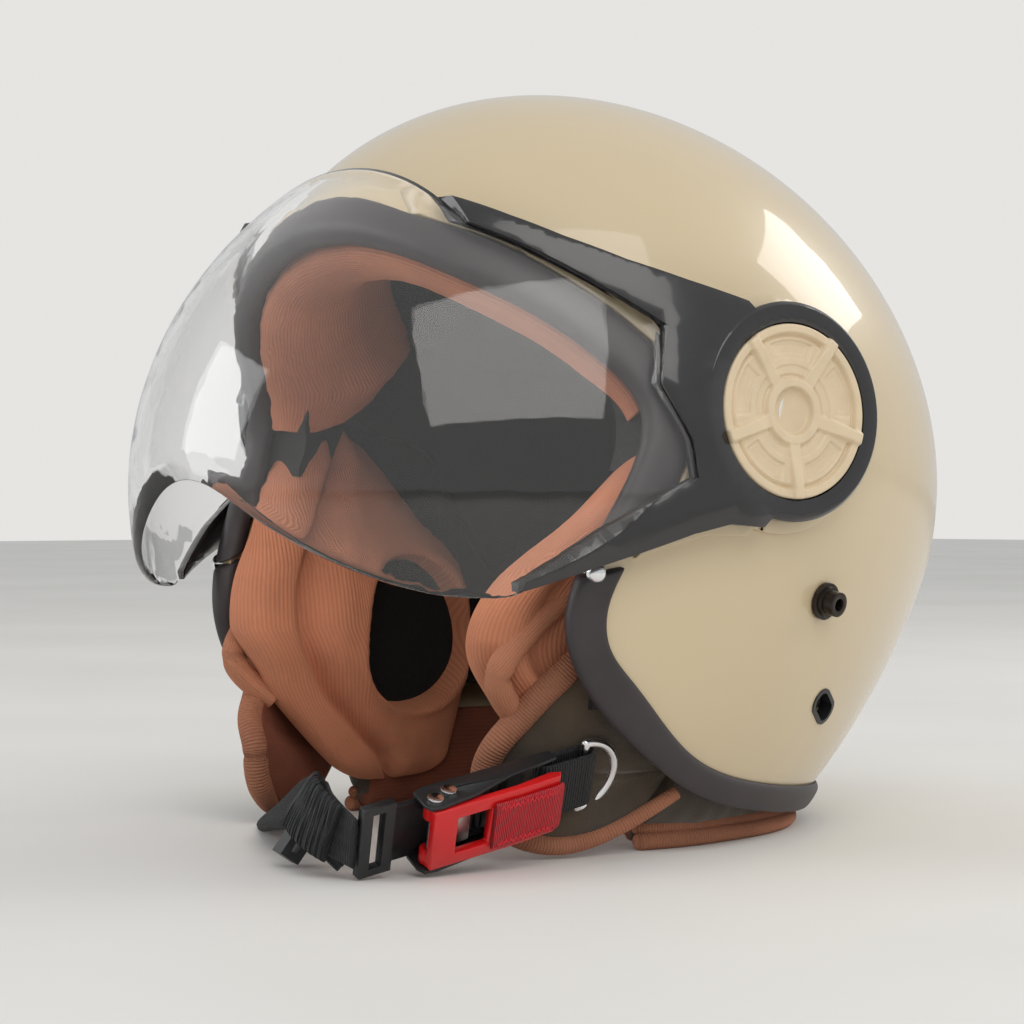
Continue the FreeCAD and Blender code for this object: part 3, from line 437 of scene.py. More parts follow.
def suede():
    """Olive-brown suede: blotchy nap with soft creases."""
    material = shader("olive_suede", 0.92, Sheen_Weight=0.3, Sheen_Roughness=0.6)
    base = linear(66, 53, 37)
    set_color(material, tint(material, noise(material, 45.0, 6.0), [c * 0.62 for c in base],
                             [c * 1.35 for c in base], 0.3, 0.7))
    creases = bump(material, noise(material, 55.0, 5.0), 0.0015, 0.6)
    set_normal(material, bump(material, noise(material, 1800.0, 3.0), 0.0003, under=creases))
    return material


SUEDE = suede()


def clear_lens():
    """Hard-coated polycarbonate with a faint smoke tint."""
    material = shader("clear_polycarbonate", 0.02, Transmission_Weight=1.0, IOR=1.49)
    set_color(material, tint(material, noise(material, 12.0, 2.0), (0.975, 0.98, 0.985),
                             (0.985, 0.99, 0.995)))
    return material


LENS = clear_lens()

NODE_MATERIALS = {
    "outer_shell": PAINT, "pivot_base": PAINT, "knob": KNOB, "foam_liner": FOAM,
    "trim_rivet": CHROME, "visor_lens": LENS, "visor_arm": GLOSS_BLACK, "pivot_bush": BUSH,
    "pivot_nut": STEEL, "pivot_screw": STEEL, "snap_stud": STUD, "stud_washer": STEEL,
    "slot_grommet": SATIN_BLACK, "ear_mesh": MESH_BLACK, "cheek_plate": SATIN_BLACK,
    "buckle_frame": SATIN_BLACK, "lever_pin": CHROME, "pawl_pin": CHROME, "buckle_lever": RED,
    "pawl": STEEL, "ratchet_tongue": SATIN_BLACK, "d_ring": CHROME, "strap_anchor": STEEL,
    "strap_keeper": SATIN_BLACK, "face_trim": RUBBER, "lower_trim": RUBBER, "cheek_pad": KNIT,
    "crown_pad": KNIT, "brow_pad": KNIT, "neck_curtain": SUEDE, "nape_curtain": SUEDE,
    "curtain_piping": PIPING, "nape_roll": PIPING, "pull_tab": WEB_RED, "strap": WEB,
    "chin_strap": WEB}
CREASE_ANGLE = math.radians(28)
BEVELS = {"visor_arm": 0.7, "knob": 0.35, "pivot_base": 0.5, "buckle_frame": 0.25,
          "buckle_lever": 0.5, "ratchet_tongue": 0.25, "snap_stud": 0.3, "pawl": 0.2,
          "lever_pin": 0.2, "pawl_pin": 0.2, "visor_lens": 0.5}


def family(name):
    """The longest key of NODE_MATERIALS that a node's name starts with."""
    return max((key for key in NODE_MATERIALS if name.startswith(key)), key=len)


def dress_cad_nodes():
    """Every CAD node gets its material, welded corners, softened edges and smooth shading."""
    for name, piece in frame["nodes"].items():
        key = family(name)
        piece.data.materials.clear()
        piece.data.materials.append(NODE_MATERIALS[key])
        piece.data.shade_smooth()
        weld = piece.modifiers.new("weld", "WELD")
        weld.merge_threshold = 0.00001
        if key in BEVELS:
            bevel = piece.modifiers.new("soft_edges", "BEVEL")
            bevel.width = BEVELS[key] * MM
            bevel.segments = 2
            bevel.limit_method = "ANGLE"
            bevel.angle_limit = CREASE_ANGLE
            bevel.harden_normals = True
            bevel.use_clamp_overlap = True
        else:
            split = piece.modifiers.new("crisp_edges", "EDGE_SPLIT")
            split.split_angle = CREASE_ANGLE


dress_cad_nodes()
# Light reaches the lining through the clear lens.
frame["nodes"]["visor_lens"].visible_shadow = False


def paint(piece, material):
    piece.data.materials.append(material)


# ------------------------------------------------------------- rubber edge trim
# Each point: share of the way from the opening to the paint's edge, and height over the paint.
TRIM_PROFILE = [(1.0, -0.2), (0.995, 1.1), (0.965, 2.2), (0.90, 2.9), (0.75, 3.3), (0.55, 3.6),
                (0.35, 3.7), (0.2, 3.2), (0.08, 1.9), (0.015, -0.2), (0.0, -2.4),
                (0.03, -4.7), (0.12, -6.2),
                (0.26, -6.6), (0.4, -6.6), (0.42, -4.4), (0.2, -4.3), (0.2, -0.2)]


def across_both(line):
    """A half line, from whichever end is at the mid-plane, joined to its mirror image."""
    return both_sides(line if line[0][0] < line[-1][0] else line[::-1])


def trim(name, inner_line, outer_line, count, node_name):
    first = across_both(shell_edge(inner_line, count))
    second = across_both(shell_edge(outer_line, count))
    rings = [on_shell(first + (second - first) * share, height) for share, height in TRIM_PROFILE]
    piece = swept(name, np.stack(rings, 1), "helmet")
    subdivide(piece)
    paint(piece, RUBBER)
    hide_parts(node_name)


trim("trim_face_rubber", OPENING_FACE, PAINT_FACE, 90, "face_trim")
trim("trim_lower_rubber", OPENING_LOWER, PAINT_LOWER, 110, "lower_trim")


# ------------------------------------------------------------- cheek pads
# The pad's front edge, as (height, half width, depth), from the temple down.
ROLL_FRONT = [(156.0, 97.0, -60.0), (147.0, 95.0, -63.0), (139.0, 91.0, -66.5),
              (126.0, 84.0, -77.0), (112.0, 76.0, -88.0), (102.0, 68.0, -98.0),
              (90.5, 61.0, -108.5), (80.0, 57.0, -113.5), (67.0, 55.0, -114.0),
              (58.0, 56.0, -110.0), (50.0, 58.0, -105.0), (38.0, 60.0, -94.0),
              (25.0, 62.0, -80.0), (12.0, 64.0, -64.0)]
BEHIND_ROLL = [(82, -78, 96), (76, -84, 87), (73.5, -98, 77), (72.5, -107.5, 68), (71, -110.5, 61),
               (69, -105.5, 53), (66, -96, 46)]
PAD_STATIONS = 110
PAD_RING_POINTS = 140
PAD_LAYER = -7.4
PAD_BACK = -2.0
EAR_CENTRE = (-34.0, 64.0)
EAR_HALF = (30.0, 24.0)
EAR_FLOOR_X = 71.5
EAR_UP = 1.4


def pad_sections():
    """Level outlines of the left cheek pad, from the temple down, as [station][point][xyz]."""
    line = even(smooth_line([(x, y, z) for z, x, y in ROLL_FRONT]), PAD_STATIONS)
    rings = []
    for index, (fx, fy, z) in enumerate(line):
        share = index / (PAD_STATIONS - 1)
        end = min(share, 1 - share)
        full = math.sqrt(max(0.0, 1 - (1 - min(end / 0.07, 1.0)) ** 2))
        back = PAD_BACK - 26.0 * max(0.0, (z - 95.0) / 47.0) - 6 * max(0.0, (50 - z) / 23)
        depth = back - fy
        thick = 0.45 + 0.55 * min(1.0, max(0.0, (z - 12.0) / 40.0))
        seam = min(20.0 + 0.11 * max(0.0, 100.0 - z), 0.42 * depth)
        set_back = 8.0 * min(1.0, max(0.0, (72.0 - z) / 16.0))
        outline = [(fx + 17 * thick, fy + 18), (fx + 20 * thick, fy + 8 + set_back),
                   (fx + 12 * thick, fy + 0.5 + 0.8 * set_back),
                   (fx + 4 * thick, fy + 1.5 + 0.3 * set_back),
                   (fx - 1.8, fy + 6), (fx - 3.8, fy + 0.55 * seam),
                   (fx - 2.6, fy + 0.85 * seam), (fx + 2.6, fy + seam), (fx - 1.2, fy + seam + 5),
                   (fx - 2.8, fy + 0.62 * depth), (fx + 0.5, back - 10), (fx + 7 * thick, back - 1),
                   (fx + 17 * thick, back - 1), (fx + 24 * thick, back - 8),
                   (fx + 25 * thick, fy + 0.5 * depth), (fx + 22 * thick, fy + 32)]
        closed = smooth_line(outline + outline[:1], 200)
        ring = even(closed, PAD_RING_POINTS + 1)[:-1]
        centre = np.array([fx + 10, (fy + back) / 2])
        ring = centre + (ring - centre) * (0.35 + 0.65 * full)
        rings.append(np.column_stack([ring, np.full(len(ring), z)]))
    return np.array(rings)


def press_ear_pocket(rings):
    """The inner face goes in round the ear, behind a low lip."""
    rise = rings[..., 2] - EAR_CENTRE[1]
    height = np.where(rise > 0, EAR_HALF[1] * EAR_UP, EAR_HALF[1])
    away = np.hypot((rings[..., 1] - EAR_CENTRE[0]) / EAR_HALF[0], rise / height)
    deep = np.clip((1.03 - away) / 0.10, 0.0, 1.0)
    deep = deep * deep * (3 - 2 * deep)
    lip = 1.4 * np.exp(-((away - 1.12) / 0.07) ** 2)
    inner = rings[..., 0] < rings[..., 0].mean(axis=1, keepdims=True)
    pressed = rings[..., 0] * (1 - deep) + np.maximum(rings[..., 0], EAR_FLOOR_X) * deep - lip
    rings[..., 0] = np.where(inner, pressed, rings[..., 0])
    return rings


def ear_lining(side):
    """Black mesh at the bottom of the ear pocket, a little dished."""
    sign = 1 if side == "left" else -1
    share = np.concatenate([np.linspace(0.02, 1.0, 14), np.linspace(0.98, 0.02, 8)])
    turn = np.linspace(0, 2 * math.pi, 72, endpoint=False)
    back = np.arange(len(share)) >= 14
    x = EAR_FLOOR_X - 2.4 + 1.0 * (1 - share ** 2) + np.where(back, 1.2, 0.0)
    y = EAR_CENTRE[0] + (EAR_HALF[0] + 0.5) * share[:, None] * np.cos(turn)
    up = np.sin(turn) > 0
    rise = np.sin(turn) * np.where(up, EAR_HALF[1] * EAR_UP + 0.5, EAR_HALF[1] + 0.5)
    z = EAR_CENTRE[1] + share[:, None] * rise
    rings = np.stack([np.broadcast_to(x[:, None], y.shape) * sign, y, z], -1)
    piece = swept("ear_lining_" + side, rings, "helmet")
    paint(piece, MESH_BLACK)
    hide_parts("ear_mesh_" + side)


def keep_inside(rings, offset):
    """Points outside a layer of the shell are brought back on to it."""
    local = lean(rings - SHELL_CENTRE, -LEAN)
    size = np.linalg.norm(local / half_axes(local, offset), axis=-1)
    return np.where((size > 1)[..., None], on_shell(rings, offset), rings)


def cheek_pad(side):
    """The knitted pad and the thinner roll that lies behind its front edge."""
    sign = 1 if side == "left" else -1
    rings = keep_inside(press_ear_pocket(pad_sections()), PAD_LAYER)
    piece = swept("cheek_pad_cover_" + side, rings * np.array([sign, 1, 1]), "helmet")
    subdivide(piece)
    paint(piece, KNIT)
    path = smooth_line(BEHIND_ROLL, 70) * np.array([sign, 1, 1])
    roll = tube("cheek_pad_roll_" + side, path, 4.6, "helmet", 20)
    subdivide(roll)
    paint(roll, EDGE_KNIT)
    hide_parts("cheek_pad_" + side)


for side in ("left", "right"):
    cheek_pad(side)
    ear_lining(side)


# ------------------------------------------------------------- brow pad and crown pad
# Each point: distance from the opening's edge over the paint, and depth under the paint.
BROW_PROFILE = [(1.0, -7.0), (-2.0, -9.5), (-3.5, -15.0), (-2.5, -22.0), (2.0, -28.5), (8.0, -32.5),
                (16.0, -35.5), (28.0, -36.5), (42.0, -36.5), (52.0, -35.0), (56.0, -31.0),
                (48.0, -27.0), (34.0, -25.5), (22.0, -25.5), (14.0, -22.0), (12.5, -12.0),
                (9.0, -7.2)]
BROW_TOP = -7.0
BROW_STATIONS = 140
BROW_END = 0.70


def brow_rings():
    """Rings along the opening's edge, deeper towards the temples and thinner at the ends."""
    kept = int(BROW_END * BROW_STATIONS)
    first = both_sides(shell_edge(OPENING_FACE, BROW_STATIONS)[:kept])
    second = both_sides(shell_edge(PAINT_FACE, BROW_STATIONS)[:kept])
    way = second - first
    way /= np.linalg.norm(way, axis=1)[:, None]
    share = np.abs(np.linspace(-1, 1, len(first)))
    deeper = 0.55 * np.clip((share - 0.25) / 0.6, 0, 1)
    grow = 1.0 + deeper - 0.5 * np.clip((share - 0.8) / 0.2, 0, 1)
    rings = [on_shell(first + way * distance, BROW_TOP + (depth - BROW_TOP) * grow)
             for distance, depth in BROW_PROFILE]
    return np.stack(rings, 1)


def brow_pad():
    piece = swept("brow_pad_cover", brow_rings(), "helmet")
    subdivide(piece)
    paint(piece, BROW_KNIT)
    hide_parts("brow_pad")


brow_pad()


def crown_pad():
    """The crown lining: a quilted cap inside the foam, with three sewn channels front to back."""
    piece = frame["nodes"]["crown_pad"].copy()
    piece.data = piece.data.copy()
    piece.name = "crown_pad_cover"
    piece.data.name = "crown_pad_cover"
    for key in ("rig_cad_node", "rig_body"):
        del piece[key]
    piece.parent = None
    bpy.context.scene.collection.objects.link(piece)
    piece.modifiers.clear()
    remesh = piece.modifiers.new("even_mesh", "REMESH")
    remesh.mode = "VOXEL"
    remesh.voxel_size = 0.004
    relax = piece.modifiers.new("relax", "SMOOTH")
    relax.iterations = 6
    apply_modifiers(piece)
    piece.data.shade_smooth()
    co = np.array([v.co for v in piece.data.vertices]) / MM - SHIFT
    local = lean(co - SHELL_CENTRE, -LEAN)
    inner = np.linalg.norm(local / half_axes(local, -30.0), axis=1) < 1
    channel = sum(np.exp(-((co[:, 0] - x) / 3.0) ** 2) for x in (-42.0, 0.0, 42.0))
    channel += np.exp(-((co[:, 2] - 178.0) / 3.0) ** 2)
    outward = lean(local / np.linalg.norm(local, axis=1)[:, None], LEAN)
    co += np.where(inner, np.clip(channel, 0, 1) * 2.6, 0.0)[:, None] * outward
    piece.data.vertices.foreach_set("co", row(co).astype(np.float32).ravel())
    piece.data.update()
    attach(piece, "helmet")
    piece.data.materials.clear()
    paint(piece, CROWN_KNIT)
    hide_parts("crown_pad")


def apply_modifiers(piece):
    """The piece's modifiers become its mesh."""
    bpy.context.view_layer.update()
    graph = bpy.context.evaluated_depsgraph_get()
    mesh = bpy.data.meshes.new_from_object(piece.evaluated_get(graph))
    mesh.name = piece.data.name
    piece.modifiers.clear()
    piece.data = mesh


crown_pad()


# ------------------------------------------------------------- neck curtain
def lower_edge_line(low_y, high_y, inset, offset, count):
    """Part of the shell's lower edge between two depths, moved in from the edge, on a layer."""
    flat = smooth_line(OPENING_LOWER, 4000)
    way = np.gradient(flat, axis=0)
    way /= np.linalg.norm(way, axis=1)[:, None]
    flat = flat + np.stack([-way[:, 1], way[:, 0]], 1) * inset
    flat = flat[(flat[:, 0] >= low_y) & (flat[:, 0] <= high_y)]
    flat = flat[np.argmax(flat[:, 1] < 90.0):]
    x = shell_x(flat[:, 0], flat[:, 1], offset)
    solid = np.stack([x, flat[:, 0], flat[:, 1]], -1)
    solid = solid[solid[:, 0] > 0]
    return even(solid, count)


def creased(u, v, seed, depth):
    """Soft gathers of a cloth panel: a few waves that don't line up."""
    return depth * (np.sin(9.0 * u + 4.0 * v + seed) * np.sin(5.0 * v + 2.0 * u + 1.7 * seed)
                    + 0.5 * np.sin(17.0 * u - 9.0 * v + 2.3 * seed))


FLAP_EDGE = [(71, -90, 3), (66, -100, 9), (62, -107, 20), (62, -108, 30), (66, -107, 38),
             (71, -101, 47), (77, -95, 56), (82, -90, 63), (86, -86, 70)]
FLAP_LOW = [(71, -90, 3), (76, -78, 6), (84, -62, 12.5)]
FLAP_ROWS = 46
FLAP_COLUMNS = 30
FLAP_THICKNESS = 5.0


def curtain_flap(side):
    """The quilted panel from the front edge back to where the curtain goes under the trim."""
    sign = 1 if side == "left" else -1
    upper = lower_edge_line(-88.0, -47.0, 6.0, -9.0, FLAP_COLUMNS)
    under_trim = [tuple(p) for p in upper[6::6]] + [tuple(upper[-1])]
    upper = even(smooth_line([FLAP_EDGE[-1]] + under_trim), FLAP_COLUMNS)
    edge = even(smooth_line(FLAP_EDGE), FLAP_ROWS)
    low = even(smooth_line(FLAP_LOW + [tuple(upper[-1])]), FLAP_COLUMNS)
    u = np.linspace(0, 1, FLAP_COLUMNS)[None, :, None]
    v = np.linspace(0, 1, FLAP_ROWS)[:, None, None]
    corner = upper[-1]
    sheet = ((1 - v) * low[None] + v * upper[None] + (1 - u) * edge[:, None] + u * corner
             - ((1 - u) * (1 - v) * low[0] + (1 - u) * v * upper[0] + u * corner))
    out = np.array([0.9, -0.3, -0.3])
    out /= np.linalg.norm(out)
    flat_u, flat_v = u[..., 0], v[..., 0]
    swell = 1.6 * np.sin(math.pi * flat_u ** 0.8) * np.sin(math.pi * flat_v) ** 0.7
    seam = 1.5 * np.exp(-((flat_v - 0.52) / 0.035) ** 2) * np.sin(math.pi * flat_u)
    bulge = swell - seam + creased(flat_u, flat_v, 1.0, 0.5)
    outer = sheet + out * bulge[..., None]
    inner_swell = 2.0 * np.sin(math.pi * flat_u) * np.sin(math.pi * flat_v)
    thickness = FLAP_THICKNESS * (1 - 0.5 * flat_u) + inner_swell * 0.4 - 0.4 * seam
    inner = sheet - out * thickness[..., None]
    rings = np.concatenate([outer, inner[:, ::-1]], axis=1)
    piece = swept("neck_curtain_flap_" + side, rings * np.array([sign, 1, 1]), "helmet")
    subdivide(piece)
    paint(piece, SUEDE)
    piece.data.materials.append(INNER_KNIT)
    for polygon in piece.data.polygons:
        columns = [vertex % (2 * FLAP_COLUMNS) for vertex in polygon.vertices]
        if min(columns) >= FLAP_COLUMNS - 1 or max(columns) == 2 * FLAP_COLUMNS - 1:
            polygon.material_index = 1
    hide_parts("neck_curtain_" + side)


PIPING_LINE = [(86, -86, 70), (82, -90, 63), (77, -95, 56), (71, -101, 47), (66, -107, 38),
               (62, -108, 30), (62, -107, 20), (65, -101, 10.5), (70, -92, 5.2), (75, -80, 4.6),
               (80, -69, 8.0), (85.5, -59, 13.5), (92, -48, 21)]


def curtain_piping(side):
    """The rolled edge: thick down the front of the flap, thin along its lower edge."""
    sign = 1 if side == "left" else -1
    path = smooth_line(PIPING_LINE, 150)
    share = np.linspace(0, 1, 150)
    radius = np.interp(share, [0.0, 0.08, 0.5, 0.62, 1.0], [3.4, 4.7, 4.7, 3.2, 2.3])
    piece = tube("curtain_roll_" + side, path * np.array([sign, 1, 1]), radius, "helmet", 20)
    subdivide(piece)
    paint(piece, PIPING)
    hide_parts("curtain_piping_" + side)


NAPE_LINE = [(74, -52, 7.5), (78, -35, 7.0), (78, -12, 7.0), (73, 18, 6.5), (58, 44, 6.5),
             (32, 61, 6.5), (0, 67.5, 6.5)]
NAPE_STATIONS = 60
LINING_FROM = 4  # the section point where the brown lining starts


def nape_lines():
    """The low line round the nape from side to side, its outward way and the line on the shell."""
    half = smooth_line(NAPE_LINE, 400)
    whole = even(np.concatenate([half, mirror_line(half)[-2::-1]]), 2 * NAPE_STATIONS + 1)
    upper = lower_edge_line(-46.0, 118.0, 5.0, -8.0, NAPE_STATIONS + 1)
    upper = np.concatenate([upper, mirror_line(upper)[-2::-1]])
    run = np.gradient(whole, axis=0)
    out = np.cross(run, [0, 0, 1.0])
    out *= np.sign((out * (whole - [0, -20, 6.5])).sum(1))[:, None]
    out[:, 2] = 0
    return whole, out / np.linalg.norm(out, axis=1)[:, None], upper


def nape_section():
    """Closed padded band round the nape: suede panels outside, brown lining inside."""
    strip, out, upper = nape_lines()
    t = np.linspace(0, 1, len(strip))[:, None]
    rise = upper - strip
    down = np.array([0, 0, -1.0])
    ways = out * 0.6 + down * 0.8
    panel = 0.75 + 0.25 * np.abs(np.sin(math.pi * 7 * t))
    gather = creased(t * 14, t * 5, 0.4, 0.35)

    def level(inward, z):
        return np.column_stack([(strip - out * inward)[:, :2], np.full(len(strip), z)])

    section = [strip, strip + rise * 0.22 + ways * (2.6 * panel + gather),
               strip + rise * 0.5 + ways * (3.6 * panel + gather),
               strip + rise * 0.8 + ways * 2.2 * panel, upper,
               level(1.0, 30.0), level(2.5, 36.5), level(5.5, 38.0), level(8.5, 35.5),
               level(9.5, 26.0),
               level(9.5, 12.0), level(8.0, 3.0), level(3.0, 1.2)]
    piece = swept("nape_cover", np.stack(section, 1), "helmet")
    subdivide(piece)
    paint(piece, SUEDE)
    piece.data.materials.append(INNER_KNIT)
    for polygon in piece.data.polygons:
        columns = [vertex % len(section) for vertex in polygon.vertices]
        if min(columns) >= LINING_FROM:
            polygon.material_index = 1
    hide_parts("nape_curtain")
    roll = tube("nape_floor_roll", level(-2.2, 3.0), 3.0, "helmet", 18)
    subdivide(roll)
    paint(roll, PIPING)
    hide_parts("nape_roll")
    seam_roll = tube("nape_seam_roll", strip + out * 1.0, 2.3, "helmet", 16)
    subdivide(seam_roll)
    paint(seam_roll, PIPING)


for side in ("left", "right"):
    curtain_flap(side)
    curtain_piping(side)
nape_section()

# ------------------------------------------------------------- chin strap
BUCKLE_PIVOT = np.array([78.0, -145.0, 14.4])


def buckle_axes():
    """Directions of the buckle: along it to the rear, out of the lever, and across it."""
    along = np.array([0.13, 0.95, 0.17])
    along /= np.linalg.norm(along)
    side = np.cross(along, [0.93, -0.05, -0.42])
    side /= np.linalg.norm(side)
    return np.stack([along, np.cross(side, along), side])


BUCKLE_AXES = buckle_axes()


def buckle(points):
    """Buckle millimetres to helmet millimetres."""
    return np.asarray(points, float) @ BUCKLE_AXES + BUCKLE_PIVOT


def tape(name, path, way, width, thickness, material, nodes=(), body="helmet", ridges=0.0,
         ribs=0.0, closed=False, pitch=2.4):
    """Woven tape along a path: way is its width direction; ridges run along it, ribs across it."""
    path = np.asarray(path, float)
    tangent = np.gradient(path, axis=0)
    if closed:
        tangent = np.roll(path, -1, axis=0) - np.roll(path, 1, axis=0)
    tangent /= np.linalg.norm(tangent, axis=1)[:, None]
    way = np.broadcast_to(np.asarray(way, float), path.shape)
    flat = np.cross(tangent, way)
    flat /= np.linalg.norm(flat, axis=1)[:, None]
    way = np.cross(flat, tangent)
    s = np.linspace(-1, 1, 33)
    half = (thickness / 2 * (1 - np.abs(s) ** 8) ** 0.5
            + ridges * np.cos(s * math.pi * 4) * (np.abs(s) < 0.9))
    section = np.concatenate([np.column_stack([s * width / 2, half]),
                              np.column_stack([s[::-1] * width / 2, -half[::-1]])[1:-1]])
    along = np.concatenate([[0], np.cumsum(np.linalg.norm(np.diff(path, axis=0), axis=1))])
    grow = 1 + ribs * np.abs(np.sin(math.pi * along / pitch))
    wider = 1 + 0.04 * (grow - 1)
    rings = (path[:, None] + way[:, None] * section[None, :, :1] * wider[:, None, None]
             + flat[:, None] * section[None, :, 1:] * grow[:, None, None])
    if closed:
        rings = np.concatenate([rings, rings[:1]])
    piece = swept(name, rings, body, capped=not closed)
    if closed:
        join_ends(piece)
    paint(piece, material)
    if nodes:
        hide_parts(*nodes)
    return piece


def join_ends(piece):
    """The first and last rings of a closed loop become one."""
    bm = bmesh.new()
    bm.from_mesh(piece.data)
    bmesh.ops.remove_doubles(bm, verts=bm.verts, dist=0.000005)
    bmesh.ops.recalc_face_normals(bm, faces=bm.faces)
    bm.to_mesh(piece.data)
    bm.free()


def dense(points, count):
    return even(smooth_line(points, 600), count)


def blend_ways(ways, stations, count):
    """Width directions at the stations, blended along the tape."""
    ways = np.array([np.asarray(w, float) / np.linalg.norm(w) for w in ways])
    spots = np.linspace(0, 1, count)
    mixed = np.stack([np.interp(spots, stations, ways[:, k]) for k in range(3)], -1)
    return mixed / np.linalg.norm(mixed, axis=1)[:, None]


def stations_of(points):
    """Each point's share of the length along a polyline."""
    steps = np.linalg.norm(np.diff(np.asarray(points, float), axis=0), axis=1)
    along = np.concatenate([[0], np.cumsum(steps)])
    return along / along[-1]


TONGUE_SLOT = buckle((-25.3, -5.2, 0.0))
CHIN_POINTS = [(-72, -84, 8), (-60, -98, 6), (-40, -114, 8), (-15, -131, 13), (10, -146, 18),
               (35, -158, 20), (56, -168.5, 17), tuple(TONGUE_SLOT)]
CHIN_WAYS = [(0.1, 0.6, 0.5), (0.2, 0.7, 0.45), (0.3, 0.7, 0.5), (0.3, 0.6, 0.6), (0.3, 0.5, 0.7),
             (0.3, 0.4, 0.8), (0.3, 0.1, 1), tuple(-BUCKLE_AXES[2])]
CHIN_STATIONS = 240
SLEEVE_SPAN = (0.36, 0.70)
LOOP_SPAN = (0.71, 0.95)
LOOP_STATIONS = 200
TAIL_POINTS = [(42, -163, 18), (49, -164.5, 14), (55, -165, 10), (60, -164, 6.5)]
TAIL_WAY = (0.53, 0.53, 0.65)


def chin_strap():
    """The webbing with its sleeve, the ribbed loop over it and the loose tail."""
    path = dense(CHIN_POINTS, CHIN_STATIONS)
    ways = blend_ways(CHIN_WAYS, stations_of(CHIN_POINTS), CHIN_STATIONS)
    piece = tape("chin_webbing", path, ways, 18.0, 2.1, WEB, ["chin_strap"],
                 ridges=0.16)
    start, end = (int(CHIN_STATIONS * share) for share in SLEEVE_SPAN)
    pad = tape("chin_pad_sleeve", path[start:end], ways[start:end], 21.0, 5.2, PAD_CLOTH,
               ["strap_pad"])
    start, end = (int(CHIN_STATIONS * share) for share in LOOP_SPAN)
    fine = even(path[start:end], LOOP_STATIONS)
    fine_ways = ways[np.linspace(start, end - 1, LOOP_STATIONS).astype(int)]
    lift = np.sin(np.linspace(0, math.pi, LOOP_STATIONS))[:, None]
    flat = np.cross(np.gradient(fine, axis=0), fine_ways)
    flat /= np.linalg.norm(flat, axis=1)[:, None]
    flat *= np.sign(flat[LOOP_STATIONS // 2] @ np.array([0.5, -0.7, 0.6]))
    loop = tape("ribbed_loop", fine + flat * (2.6 + 2.4 * lift), fine_ways, 20.5, 2.2, WEB,
                ribs=0.55)
    tail_path = dense(TAIL_POINTS, 60)
    tail = tape("strap_tail", tail_path, TAIL_WAY, 11.0, 2.2, WEB, ridges=0.35)


ANCHOR_PLACE = (-38.0, 97.0)
ANCHOR_DROP = 4.0 + 6.3


def anchor_top():
    """Where a riser starts, under the shell's anchor plate."""
    y, z = ANCHOR_PLACE
    point = np.array([float(shell_x(np.array(y), np.array(z))), y, z])
    inner = on_shell(point[None], -1.0)[0]
    normal = (point - inner) / np.linalg.norm(point - inner)
    return point - normal * ANCHOR_DROP


RISER_WAY = np.array([0, 0.86, -0.51])
LOOP_BARS = (47.5, 63.5)
LOOP_RADIUS = 2.9


def risers():
    """The webbing from the shell anchors down to the buckle and to the chin strap."""
    top = anchor_top()
    path = even(np.array([(76.4, -83.0, 27.0), top]), 60)
    piece = tape("riser_left", path, RISER_WAY, 21.5, 1.9, WEB, ["strap_left"],
                 ridges=0.15)
    path = even(np.array([(77.0, -90.0, 13.0), top]), 60) * np.array([-1, 1, 1])
    piece = tape("riser_right", path, RISER_WAY, 18.0, 1.9, WEB, ["strap_right"],
                 ridges=0.15)
    near, far = LOOP_BARS
    turn = np.linspace(math.pi / 2, 3 * math.pi / 2, 24)
    left = [(near + LOOP_RADIUS * math.cos(a), -5.8 + LOOP_RADIUS * math.sin(a), 0) for a in turn]
    right = [(far - LOOP_RADIUS * math.cos(a), -5.8 - LOOP_RADIUS * math.sin(a), 0) for a in turn]
    loop = even(buckle(left + right + left[:1]), 140)[:-1]
    piece = tape("buckle_loop", loop, BUCKLE_AXES[2], 20.2, 1.9, WEB, closed=True,
                 ribs=0.12)


TAB_POINTS = [(19.5, 6.1, 0), (24, 6.3, 0), (32, 6.25, 0), (40, 6.05, 0), (45.5, 5.5, 0),
              (46.8, 4.9, 0)]
STITCHES = 26


def pull_tab():
    """Crimson tape sewn over the lever's tail, with zigzag stitches along both edges."""
    path = dense(buckle(TAB_POINTS), 120)
    piece = tape("pull_tape", path, BUCKLE_AXES[2], 17.0, 1.7, WEB_RED, ["pull_tab"],
                 body="lever", ribs=0.05, pitch=1.2)
    for side, letter in ((-1, "b"), (1, "a")):
        zigzag = [(x, 7.15 - 0.0022 * (x - 30) ** 2, side * (6.6 + (0.75 if k % 2 else -0.75)))
                  for k, x in enumerate(np.linspace(21.0, 44.0, STITCHES))]
        stitches = tube("tab_stitches_" + letter, even(buckle(zigzag), 200), 0.22, "lever", 6,
                        up=tuple(BUCKLE_AXES[1]))
        paint(stitches, STITCH_RED)


chin_strap()
risers()
pull_tab()


# ------------------------------------------------------------- side knobs
KNOB_RIBS = 5
KNOB_BACK_LEVEL = 5.1
KNOB_FLOOR_LEVEL = 5.7
KNOB_RIM_DROPS = (0.12, 0.4, 0.95)


